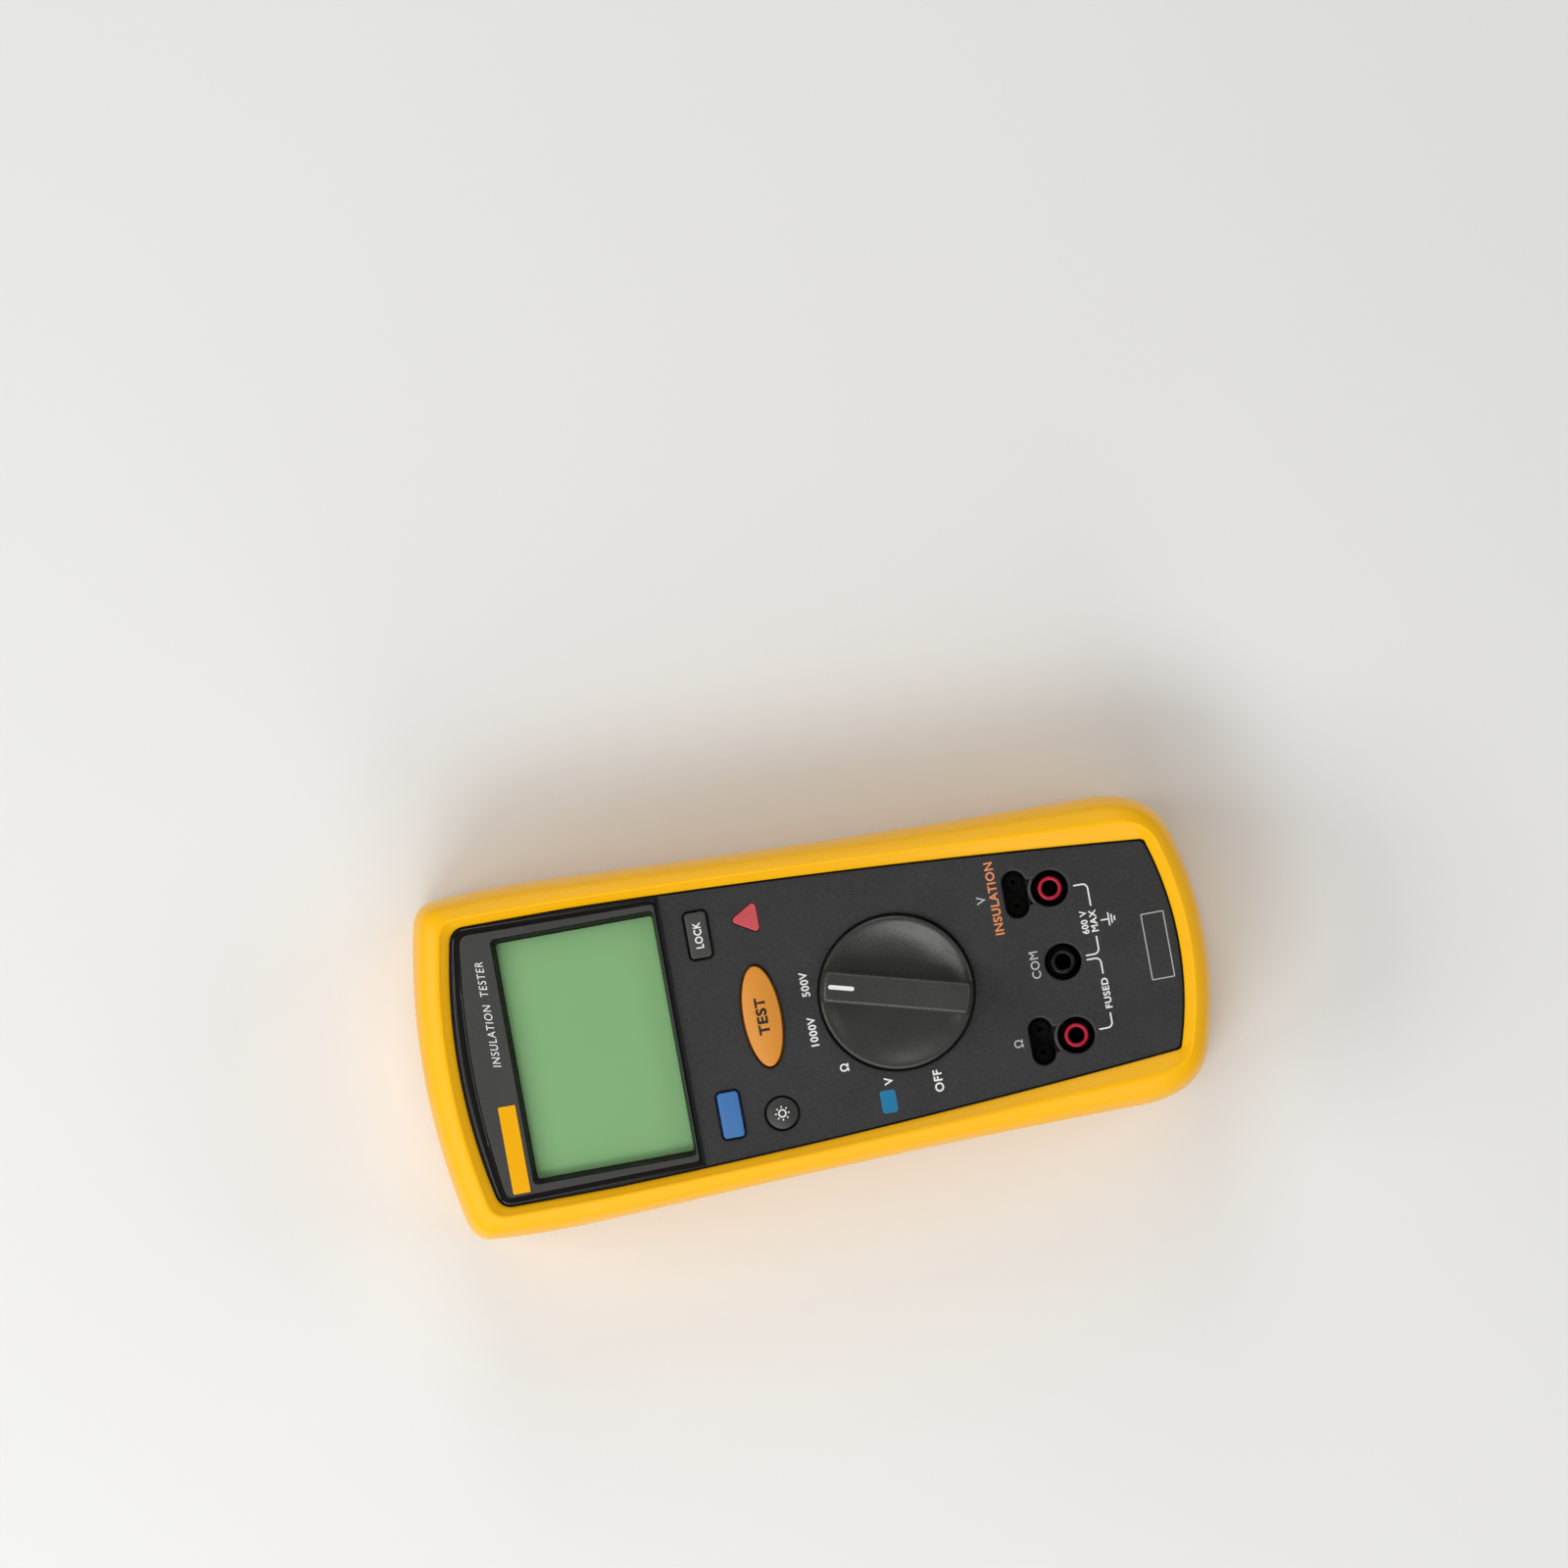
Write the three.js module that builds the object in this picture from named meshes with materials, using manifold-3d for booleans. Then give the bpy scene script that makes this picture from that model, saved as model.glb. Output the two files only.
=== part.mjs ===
// Handheld insulation resistance tester, as an assembly of separate pieces.
// Millimetres. +X is the tester's right, +Y its display end, +Z out of its face.
// The origin is the middle of the footprint, on the surface that the back rests on.

import * as THREE from 'three';
import { mergeVertices } from 'three/addons/utils/BufferGeometryUtils.js';
import Module from 'manifold-3d';

const wasm = await Module();
wasm.setup();

// ---------- driving dimensions ----------

const GAP = 0.3; // between pieces that touch
const FACE_Z = 43; // the flat face of the front case
const BACK_Z = 2.8; // the back of the rear case, which the holster lifts off the bench
const HOLSTER_Z = 46; // the crest of the holster's front lip
const HOLSTER_WALL = 3;
const CASE_WALL = 2.2;
const FACE_WALL = 2.4;
const PARTING_Z = 22; // where the two case halves meet

const KNOB = { x: 0, y: -21.3, radius: 19.6, top: 50, turn: -15 };
const KEY_TRAVEL = 1;
const JACK = { y: -64.5, pitch: 19.05, bore: 4.65, sleeve: 3.05, mouth: 2.1, top: 41.8, floor: 18 };
const REMOTE = { dy: 8.9, halfWidth: 6.1, halfHeight: 3, floor: 35, pinPitch: 6.2 };
const LCD = { x: 0, y: 57, width: 60.6, height: 40.4 };
const BOARD_Z = 34; // underside of the main board
const BOARD_THICKNESS = 1.6;
const CELL = { radius: 7.1, length: 50, pitch: 14.6, y: 53.8, z: 12.4 };
const DOOR = { halfWidth: 33, low: 13, high: 84.9, thickness: 2 };
const BAY = { halfWidth: 30, low: 15.6, high: 82.5, top: 20.2, partition: 24.3 };
const STAND = { halfWidth: 22.7, hingeY: 7, hingeZ: 5.4, low: -79.5, thickness: 3.3, pin: 1.5 };
const LATCH = { x: 25.6, y: 18.6, radius: 3.6 };

const KEYS = [
  { name: 'function_button', x: -23.2, y: 25.9, width: 11.7, height: 5.4, corner: 0.9, color: 0x4577ad },
  { name: 'lock_button', x: 23.4, y: 25.9, width: 11.7, height: 5.4, corner: 0.9, color: 0x525250 },
  { name: 'backlight_button', x: -25.15, y: 12.9, width: 8, height: 8, corner: 4, color: 0x464645 },
  { name: 'test_button', x: 0.1, y: 13.5, width: 25.9, height: 9.5, corner: null, color: 0xef9a34 },
];
const LAMP = { x: 25.4, y: 12.6, side: 6.8 };

// ---------- materials ----------

const look = (color, roughness, metalness = 0, more = {}) =>
  new THREE.MeshStandardMaterial({ color, roughness, metalness, ...more });

const HOLSTER_RUBBER = look(0xffc107, 0.55);
const CASE_PLASTIC = look(0x3c3c3d, 0.6);
const BEZEL_PLASTIC = look(0x2a2a2a, 0.35);
const CLEAR = look(0xdfe8e2, 0.05, 0, { transparent: true, opacity: 0.25 });
const LCD_GREEN = look(0x80ac77, 0.4);
const BADGE = look(0xebb419, 0.4);
const WHITE_PLASTIC = look(0xe6e6e0, 0.5);
const BOARD_GREEN = look(0x1f6b3a, 0.5);
const BLACK_PLASTIC = look(0x151515, 0.5);
const RED_PLASTIC = look(0xb8203a, 0.35);
const BRASS = look(0xc9a24a, 0.3, 1);
const STEEL = look(0xb4b6b8, 0.35, 1);
const SILICONE = look(0x5a5a5c, 0.8);
const FERRITE = look(0x2f3032, 0.7);
const COPPER = look(0xb06a3a, 0.35, 1);
const FILM_BLUE = look(0x2d5da0, 0.5);
const GLASS = look(0xe8eef0, 0.1, 0, { transparent: true, opacity: 0.4 });
const CELL_LABEL = look(0x2b2f36, 0.35);

// ---------- solids ----------

const V = (x, y) => new THREE.Vector2(x, y);

/** A three.js geometry as a closed solid, with shared vertices joined and slivers dropped. */
function solid(geometry) {
  const bare = geometry.clone();
  bare.deleteAttribute('normal');
  bare.deleteAttribute('uv');
  const merged = mergeVertices(bare, 1e-4);
  const index = merged.index.array;
  const faces = [];
  for (let i = 0; i < index.length; i += 3) {
    const [a, b, c] = [index[i], index[i + 1], index[i + 2]];
    if (a !== b && b !== c && c !== a) faces.push(a, b, c);
  }
  const vertProperties = new Float32Array(merged.attributes.position.array);
  const build = (triVerts) => new wasm.Manifold(new wasm.Mesh({ numProp: 3, vertProperties, triVerts }));
  const made = build(new Uint32Array(faces));
  return made.volume() > 0 ? made : build(new Uint32Array(faces.reverse()));
}

function geometryOf(made) {
  const mesh = made.getMesh();
  const geometry = new THREE.BufferGeometry();
  geometry.setAttribute('position', new THREE.BufferAttribute(new Float32Array(mesh.vertProperties), 3));
  geometry.setIndex(new THREE.BufferAttribute(new Uint32Array(mesh.triVerts), 1));
  geometry.computeVertexNormals();
  return geometry;
}

const join = (...parts) => parts.reduce((sum, part) => sum.add(part));
const cut = (body, ...tools) => tools.reduce((rest, tool) => rest.subtract(tool), body);

function box(x0, x1, y0, y1, z0, z1) {
  const geometry = new THREE.BoxGeometry(x1 - x0, y1 - y0, z1 - z0);
  return solid(geometry.translate((x0 + x1) / 2, (y0 + y1) / 2, (z0 + z1) / 2));
}

function cylinder(radius, z0, z1, x = 0, y = 0, sides = 24) {
  const geometry = new THREE.CylinderGeometry(radius, radius, z1 - z0, sides);
  return solid(geometry.rotateX(Math.PI / 2).translate(x, y, (z0 + z1) / 2));
}

/** A cylinder lying along X or Y. */
function rod(radius, length, x, y, z, along = 'x', sides = 16) {
  const geometry = new THREE.CylinderGeometry(radius, radius, length, sides);
  if (along === 'x') geometry.rotateZ(Math.PI / 2);
  return solid(geometry.translate(x, y, z));
}

/** A closed profile of [radius, z] pairs turned round Z. */
function turned(profile, x = 0, y = 0, sides = 24) {
  const points = profile.map(([r, z]) => V(r, z));
  if (!points[0].equals(points[points.length - 1])) points.push(points[0].clone());
  const geometry = new THREE.LatheGeometry(points, sides);
  return solid(geometry.rotateX(Math.PI / 2).translate(x, y, 0));
}

function prism(points, z0, z1, x = 0, y = 0) {
  const geometry = new THREE.ExtrudeGeometry(new THREE.Shape(points), {
    depth: z1 - z0, bevelEnabled: false, curveSegments: 6,
  });
  return solid(geometry.translate(x, y, z0));
}

/** A solid through outlines of equal point count at rising heights: levels of [z, outline]. */
function stack(levels) {
  const count = levels[0][1].length;
  const positions = [];
  const faces = [];
  for (const [z, outline] of levels) for (const p of outline) positions.push(p.x, p.y, z);
  for (let level = 0; level < levels.length - 1; level++) {
    for (let i = 0; i < count; i++) {
      const a = level * count + i;
      const b = level * count + ((i + 1) % count);
      faces.push(a, b, b + count, a, b + count, a + count);
    }
  }
  const last = (levels.length - 1) * count;
  for (const [i, j, k] of THREE.ShapeUtils.triangulateShape(levels[0][1], [])) faces.push(k, j, i);
  for (const [i, j, k] of THREE.ShapeUtils.triangulateShape(levels[levels.length - 1][1], [])) {
    faces.push(last + i, last + j, last + k);
  }
  const geometry = new THREE.BufferGeometry();
  geometry.setAttribute('position', new THREE.BufferAttribute(new Float32Array(positions), 3));
  geometry.setIndex(faces);
  return solid(geometry);
}

// ---------- outlines ----------

const mix = (from, to, share) => from.map((p, i) => p.clone().lerp(to[i], share));

/** Runs of [curve, segments] joined end to end. */
function trace(runs) {
  const points = [];
  for (const [curve, segments] of runs) {
    const run = curve.getPoints(segments);
    points.push(...(points.length ? run.slice(1) : run));
  }
  return points;
}

/** The right half, from the tail's middle round to the head's, with its mirror image. */
const mirrored = (half) => [...half, ...half.slice(1, -1).reverse().map((p) => V(-p.x, p.y))];

/** Body outlines: a domed head, sides that draw in to a waist, and a rounded tail. */
const OUTER = {
  tailY: -101.5, tailRadius: 96, tailSpan: 28, tailCorner: [39.6, -93.9], sideStart: [39.9, -78],
  controls: [[40.2, -15], [42.8, 30]], shoulder: [44.5, 66], upper: [44.8, 80], headSide: [43.9, 91.5],
  headCorner: [43.6, 96], headSpan: 38.5, headY: 101.5, headRadius: 180,
};
const CREST = {
  tailY: -97.4, tailRadius: 90, tailSpan: 25, tailCorner: [32.6, -91.8], sideStart: [33, -83],
  controls: [[34.6, -45], [37.2, 8]], shoulder: [38.6, 60], upper: [38.8, 74], headSide: [38.7, 86.5],
  headCorner: [38.6, 90.6], headSpan: 34, headY: 95, headRadius: 165,
};
const OPENING = {
  tailY: -94.6, tailRadius: 87, tailSpan: 26.3, tailCorner: [27.3, -90.3], sideStart: [27.4, -89],
  controls: [[31, -50], [34.9, 5]], shoulder: [36.2, 58], upper: [36.3, 72], headSide: [36.3, 84.5],
  headCorner: [36.2, 88], headSpan: 32.5, headY: 92.2, headRadius: 155,
};
const BACK_OPENING = {
  tailY: -93.5, tailRadius: 88, tailSpan: 22, tailCorner: [30.6, -89.2], sideStart: [31.6, -77],
  controls: [[32, -15], [34.4, 30]], shoulder: [36.2, 66], upper: [36.4, 76], headSide: [35.8, 84],
  headCorner: [35.4, 91.4], headSpan: 29, headY: 93.6, headRadius: 172,
};

/** The outline of a body shape, drawn in by inset on every side. */
function bodyOutline(shape, inset = 0) {
  const side = ([x, y]) => V(x - inset, y);
  const tail = ([x, y]) => V(x - inset, y + inset);
  const head = ([x, y]) => V(x - inset, y - inset);
  const tailRadius = shape.tailRadius - inset;
  const tailSpan = shape.tailSpan - inset;
  const tailAngle = Math.asin(tailSpan / tailRadius);
  const tailArc = new THREE.EllipseCurve(
    0, shape.tailY + shape.tailRadius, tailRadius, tailRadius, -Math.PI / 2, -Math.PI / 2 + tailAngle);
  const headRadius = shape.headRadius - inset;
  const headSpan = shape.headSpan - inset;
  const headAngle = Math.asin(headSpan / headRadius);
  const headArc = new THREE.EllipseCurve(
    0, shape.headY - shape.headRadius, headRadius, headRadius, Math.PI / 2 - headAngle, Math.PI / 2);
  return mirrored(trace([
    [tailArc, 3],
    [new THREE.QuadraticBezierCurve(tailArc.getPoint(1), tail(shape.tailCorner), tail(shape.sideStart)), 4],
    [new THREE.CubicBezierCurve(
      tail(shape.sideStart), ...shape.controls.map(side), side(shape.shoulder)), 4],
    [new THREE.QuadraticBezierCurve(side(shape.shoulder), side(shape.upper), head(shape.headSide)), 1],
    [new THREE.QuadraticBezierCurve(head(shape.headSide), head(shape.headCorner), headArc.getPoint(0)), 3],
    [headArc, 3],
  ]));
}

/** A rectangle with round corners about (x, y). */
function roundedRect(width, height, corner, x = 0, y = 0, segments = 3) {
  const right = x + width / 2 - corner;
  const left = x - width / 2 + corner;
  const high = y + height / 2 - corner;
  const low = y - height / 2 + corner;
  const quarter = (cx, cy, turns) =>
    new THREE.EllipseCurve(cx, cy, corner, corner, turns * Math.PI / 2, (turns + 1) * Math.PI / 2).getPoints(segments);
  return [...quarter(right, low, 3), ...quarter(right, high, 0), ...quarter(left, high, 1), ...quarter(left, low, 2)];
}

const ellipse = (halfWidth, halfHeight, segments = 26) =>
  new THREE.EllipseCurve(0, 0, halfWidth, halfHeight).getPoints(segments).slice(0, -1);

/** The display bezel's outline: straight sides on a straight base, under a domed top. */
function bezelOutline({ baseY, baseHalf, headHalf, corner, headY, radius }) {
  const span = headHalf - corner;
  const angle = Math.asin(span / radius);
  const dome = new THREE.EllipseCurve(0, headY - radius, radius, radius, Math.PI / 2 - angle, Math.PI / 2);
  const start = dome.getPoint(0);
  return mirrored(trace([
    [new THREE.LineCurve(V(0, baseY), V(baseHalf, baseY)), 1],
    [new THREE.LineCurve(V(baseHalf, baseY), V(headHalf, start.y - corner)), 1],
    [new THREE.QuadraticBezierCurve(
      V(headHalf, start.y - corner), V(headHalf, start.y - corner * 0.14), start), 3],
    [dome, 4],
  ]));
}

/** The pocket round a test jack: its round bore, the remote probe's slot above, and the neck between. */
function jackPocket(x, z0, z1, grow = 0) {
  const slot = roundedRect(
    2 * REMOTE.halfWidth + 2 * grow, 2 * REMOTE.halfHeight + 2 * grow, REMOTE.halfHeight + grow - 0.01,
    x, JACK.y + REMOTE.dy, 4);
  return join(
    cylinder(JACK.bore + grow, z0, z1, x, JACK.y, 24),
    prism(slot, z0, z1),
    box(x - 3, x + 3, JACK.y + 2, JACK.y + REMOTE.dy, z0, z1),
  );
}

// ---------- assembly ----------

const tester = new THREE.Group();

function piece(name, shape, material, parent = tester, at = [0, 0, 0]) {
  const mesh = new THREE.Mesh(geometryOf(shape), material);
  mesh.name = name;
  mesh.position.set(...at);
  parent.add(mesh);
  return mesh;
}

function group(x = 0, y = 0, z = 0) {
  const made = new THREE.Group();
  made.position.set(x, y, z);
  tester.add(made);
  return made;
}

const outer = bodyOutline(OUTER);
const crest = bodyOutline(CREST);
const opening = bodyOutline(OPENING);
const backOpening = bodyOutline(BACK_OPENING);

/** The outside of the case, grown by a gap: its back edge, sides and front edge. */
function caseLevels(grow, back = true, front = true) {
  const side = bodyOutline(OUTER, HOLSTER_WALL + GAP - grow);
  const frontEdge = bodyOutline(CREST, -grow);
  const backEdge = bodyOutline(BACK_OPENING, -grow);
  const rear = [
    [BACK_Z - grow, mix(side, backEdge, 0.75)], [4, mix(side, backEdge, 0.34)], [8, side],
  ];
  const fore = [
    [35, side], [40, mix(side, frontEdge, 0.3)], [FACE_Z + grow, frontEdge],
  ];
  const middle = [[PARTING_Z + (back ? -GAP / 2 : GAP / 2), side]];
  if (back && front) return [...rear, ...fore];
  return back ? [...rear, ...middle] : [...middle, ...fore];
}

// The holster: a soft boot that wraps the case, open over the face and over the back.
function makeHolster() {
  const shell = stack([
    [0, mix(outer, backOpening, 0.46)], [1.4, mix(outer, backOpening, 0.18)], [6, outer],
    [28, outer], [38, mix(outer, crest, 0.11)],
    [43.4, mix(outer, crest, 0.42)], [45.3, mix(outer, crest, 0.74)], [HOLSTER_Z, crest],
  ]);
  const lipOutline = bodyOutline(CREST, 0.4);
  const funnel = stack([
    [FACE_Z - 1, opening], [FACE_Z + 0.9, opening], [HOLSTER_Z, lipOutline], [HOLSTER_Z + 2, lipOutline],
  ]);
  const backHole = stack([[-1, backOpening], [BACK_Z + 1, backOpening]]);
  return cut(shell, stack(caseLevels(GAP)), funnel, backHole);
}

// The front case: a shell with the face, its openings and the screw bosses.
const SCREWS = [
  [-22, -86.3], [22, -86.3], [-28.4, -32], [28.4, -32], [-24, 88.7], [24, 88.7],
];
const BOSS = { radius: 3.2, hole: 1.15, low: PARTING_Z + 0.4 };

function makeFrontCase() {
  const inside = stack([
    [PARTING_Z - 1, bodyOutline(OUTER, HOLSTER_WALL + GAP + CASE_WALL)],
    [36, bodyOutline(OUTER, HOLSTER_WALL + GAP + CASE_WALL)],
    [FACE_Z - FACE_WALL, bodyOutline(CREST, 1.6)],
  ]);
  const bosses = SCREWS.map(([x, y]) => cut(
    cylinder(BOSS.radius, BOSS.low, FACE_Z - 1, x, y, 12), cylinder(BOSS.hole + GAP, BOSS.low - 1, 33.4, x, y, 8)));
  const tray = cylinder(KNOB.radius + 2.6, 38.9, FACE_Z - 1, KNOB.x, KNOB.y, 30);
  const keyHoles = KEYS.map((key) => prism(keyOutline(key, GAP + 0.15), 38, FACE_Z + 1, key.x, key.y));
  return cut(
    join(cut(stack(caseLevels(0, false, true)), inside), tray, ...bosses),
    cylinder(KNOB.radius + 0.4, 41.1, FACE_Z + 1, KNOB.x, KNOB.y, 40),
    cylinder(6.1, 38, FACE_Z, KNOB.x, KNOB.y, 18),
    prism(roundedRect(LCD.width + 4.4, LCD.height + 3.2, 1, LCD.x, LCD.y + 0.3), 38, FACE_Z + 1),
    ...keyHoles,
    prism(lampOutline(GAP), 38, FACE_Z + 1, LAMP.x, LAMP.y),
    jackPocket(-JACK.pitch, 38, FACE_Z + 1),
    jackPocket(JACK.pitch, 38, FACE_Z + 1),
    cylinder(JACK.bore, 38, FACE_Z + 1, 0, JACK.y, 24),
  );
}

// The rear case: a shell with the battery bay, the stand's recess and the screw holes.
function makeRearCase() {
  const inside = stack([
    [BACK_Z + 2.4, bodyOutline(BACK_OPENING, 1)],
    [10, bodyOutline(OUTER, HOLSTER_WALL + GAP + CASE_WALL)],
    [PARTING_Z + 1, bodyOutline(OUTER, HOLSTER_WALL + GAP + CASE_WALL)],
  ]);
  const bay = box(-DOOR.halfWidth - 2, DOOR.halfWidth + 2, DOOR.low - 2, DOOR.high + 1.6, BACK_Z + 1, BAY.top + 1.5);
  const standTray = box(-STAND.halfWidth - 4, STAND.halfWidth + 4, STAND.low - 8.6, 10.8, BACK_Z + 1, 9.8);
  const bosses = SCREWS.map(([x, y]) => cylinder(BOSS.radius + 0.4, BACK_Z + 1, BOSS.low - GAP, x, y, 12));
  const counterbores = SCREWS.map(([x, y]) => join(
    cylinder(2.9, BACK_Z - 1, 5.6, x, y, 14), cylinder(1.15 + GAP, 5, PARTING_Z + 2, x, y, 8)));
  const latchPockets = [-1, 1].map((side) => {
    const x = side * LATCH.x;
    return box(Math.min(x, side * 32.4), Math.max(x, side * 32.4), LATCH.y - 2.6, LATCH.y + 6.8, 4, 9.6);
  });
  const partition = box(-BAY.halfWidth - 1, BAY.halfWidth + 1, BAY.partition, BAY.partition + 1, 6, BAY.top + 1);
  return cut(
    join(cut(stack(caseLevels(0, true, false)), inside), bay, standTray, ...bosses),
    // the bay and the seat of its door
    cut(box(-BAY.halfWidth, BAY.halfWidth, BAY.low, BAY.high, BACK_Z - 1, BAY.top), partition),
    prism(roundedRect(
      2 * DOOR.halfWidth + 2 * GAP, DOOR.high - DOOR.low + 2 * GAP, 3, 0, (DOOR.high + DOOR.low) / 2), BACK_Z - 1, 5.1),
    ...latchPockets,
    // the stand's recess, its deeper hinge end, the pin holes and the finger notch
    box(-STAND.halfWidth - 0.4, STAND.halfWidth + 0.4, STAND.low - 0.5, 10, BACK_Z - 1, 6.7),
    box(-STAND.halfWidth - 0.4, STAND.halfWidth + 0.4, 3.2, 10, BACK_Z, 8.3),
    rod(STAND.pin + GAP, 2 * STAND.halfWidth + 6, 0, STAND.hingeY, STAND.hingeZ),
    box(-9, 9, STAND.low - 6.6, STAND.low, BACK_Z - 1, 7.6),
    ...counterbores,
  );
}

// Keys: a cap through the face, a flange that stops it under the face, and a plunger to the board.
function keyOutline(key, grow = 0) {
  if (key.corner === null) return ellipse(key.width / 2 + grow, key.height / 2 + grow);
  return roundedRect(key.width + 2 * grow, key.height + 2 * grow, key.corner + grow - 0.01, 0, 0, key.corner > 2 ? 5 : 2);
}

function makeKey(key) {
  const crown = key.name === 'test_button' ? 2 : 1.3;
  const domed = key.name === 'test_button' ? 0.8 : 0.35;
  return join(
    stack([
      [FACE_Z - FACE_WALL - 0.6, keyOutline(key)], [FACE_Z + crown - domed, keyOutline(key)],
      [FACE_Z + crown - domed * 0.3, keyOutline(key, -0.35)], [FACE_Z + crown, keyOutline(key, -domed)],
    ]),
    prism(keyOutline(key, 1), 38.9, FACE_Z - FACE_WALL - GAP),
    prism(keyOutline(key, -0.8), BOARD_Z + BOARD_THICKNESS + KEY_TRAVEL + 0.2, 39),
  );
}

// The warning lamp's lens: a triangle with its point towards the display.
function lampOutline(grow = 0) {
  const corners = [90, 210, 330].map((degrees) => degrees * Math.PI / 180);
  const reach = LAMP.side / Math.sqrt(3) - 0.9;
  const points = [];
  for (const angle of corners) {
    const arc = new THREE.EllipseCurve(
      reach * Math.cos(angle), reach * Math.sin(angle), 0.9 + grow, 0.9 + grow, angle - Math.PI / 3, angle + Math.PI / 3);
    points.push(...arc.getPoints(3));
  }
  return points;
}

// ---------- case ----------

piece('holster', makeHolster(), HOLSTER_RUBBER);
piece('front_case', makeFrontCase(), CASE_PLASTIC);
piece('rear_case', makeRearCase(), CASE_PLASTIC);

for (const [i, [x, y]] of SCREWS.entries()) {
  piece(`case_screw_${i + 1}`, cut(
    join(
      turned([[0, 3.2], [2.3, 3.2], [2.6, 3.6], [2.6, 5.3], [1.15, 5.3], [1.15, 30], [0, 31.2]], 0, 0, 10)),
    box(-1.6, 1.6, -0.35, 0.35, 3, 4.3), box(-0.35, 0.35, -1.6, 1.6, 3, 4.3),
  ), STEEL, tester, [x, y, 0]);
}

// ---------- display ----------

const bezelRim = { baseY: 35.2, baseHalf: 34.7, headHalf: 35.8, corner: 3.6, headY: 91.5, radius: 155 };
const bezelPlate = { baseY: 35.5, baseHalf: 33.4, headHalf: 34.1, corner: 2.2, headY: 88.4, radius: 227 };
const BEZEL_Z = 45;
const windowMouth = roundedRect(LCD.width + 2.8, LCD.height + 2.2, 1, LCD.x, LCD.y + 0.2);
const windowSill = roundedRect(LCD.width, LCD.height, 0.8, LCD.x, LCD.y);

piece('display_bezel', cut(
  stack([
    [FACE_Z + 0.05, bezelOutline(bezelRim)], [FACE_Z + 0.8, bezelOutline(bezelRim)],
    [BEZEL_Z - 0.5, mix(bezelOutline(bezelRim), bezelOutline(bezelPlate), 0.7)],
    [BEZEL_Z, bezelOutline(bezelPlate)],
  ]),
  stack([
    [FACE_Z - 1, windowSill], [FACE_Z + 0.3, windowSill], [BEZEL_Z, windowMouth], [BEZEL_Z + 1, windowMouth],
  ]),
), BEZEL_PLASTIC);
piece('name_badge', prism(roundedRect(22.6, 4.5, 0.3, 0, 0, 2), 0, 0.25), BADGE, tester, [-22, 81.8, BEZEL_Z + 0.05]);
piece('display_window', prism(roundedRect(LCD.width + 3.6, LCD.height + 2.4, 0.8, LCD.x, LCD.y + 0.3), 41.3, 42.8), CLEAR);
piece('lcd_panel', prism(roundedRect(LCD.width + 3.4, LCD.height + 2.2, 0.5, LCD.x, LCD.y + 0.3, 2), 38.8, 41), LCD_GREEN);
piece('lcd_backlight', prism(roundedRect(LCD.width + 3, LCD.height - 6.6, 0.5, LCD.x, LCD.y, 2), 36.4, 38.5), WHITE_PLASTIC);
for (const [name, side] of [['lcd_connector_lower', -1], ['lcd_connector_upper', 1]]) {
  piece(name, box(-29, 29, -1, 1, 36, 38.6), SILICONE, tester, [LCD.x, LCD.y + side * (LCD.height / 2 - 1.4), 0]);
}
piece('lcd_frame', cut(
  box(-35, 35, 33.2, 82, 36, 38.6),
  box(-LCD.width / 2 - 2.2, LCD.width / 2 + 2.2, LCD.y - LCD.height / 2 - 1.6, LCD.y + LCD.height / 2 + 1.6, 35, 40),
), WHITE_PLASTIC);

// ---------- keypad and warning lamp ----------

for (const key of KEYS) {
  piece(key.name, makeKey(key), look(key.color, 0.5), tester, [key.x, key.y, 0]);
}
piece('keypad_mat', cut(
  box(-31, 19.8, 5.5, 30.8, BOARD_Z + BOARD_THICKNESS + 0.1, BOARD_Z + BOARD_THICKNESS + 0.8)
    .add(box(15, 31, 21, 30.8, BOARD_Z + BOARD_THICKNESS + 0.1, BOARD_Z + BOARD_THICKNESS + 0.8)),
  ...KEYS.map(({ x, y, width, height }) =>
    box(x - width / 2 - 0.2, x + width / 2 + 0.2, y - height / 2 - 0.2, y + height / 2 + 0.2, 35, 37)),
), SILICONE);
piece('warning_lens', join(
  prism(lampOutline(), 38.6, FACE_Z + 0.2), prism(lampOutline(1), 38.6, FACE_Z - FACE_WALL - GAP),
), RED_PLASTIC, tester, [LAMP.x, LAMP.y, 0]);
piece('warning_led', turned(
  [[0, 35.8], [1.5, 35.8], [1.5, 37.2], [1.1, 37.9], [0, 38.2]], 0, 0, 12), RED_PLASTIC, tester, [LAMP.x, LAMP.y, 0]);

// ---------- rotary switch ----------

const knobGroup = group(KNOB.x, KNOB.y);
knobGroup.rotation.z = KNOB.turn * Math.PI / 180;

piece('rotary_knob', join(
  turned([
    [0, 41.4], [19.3, 41.4], [KNOB.radius, 41.8], [KNOB.radius, 44], [19.1, 44.8], [18, 45.1],
    [15.6, 44], [12, 42.9], [0, 42.6],
  ], 0, 0, 36),
  stack([
    [42, roundedRect(8.8, 60, 0.5)], [44, roundedRect(8, 60, 0.5)], [49.2, roundedRect(7.4, 60, 0.5)],
    [KNOB.top, roundedRect(6, 60, 0.5)],
  ]).intersect(turned([[0, 41.5], [19.3, 41.5], [19.3, 46], [17.8, KNOB.top + 0.1], [0, KNOB.top + 0.2]], 0, 0, 36)),
  cylinder(5.7, 36.4, 42, 0, 0, 16),
), look(0x414140, 0.55), knobGroup);

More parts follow.
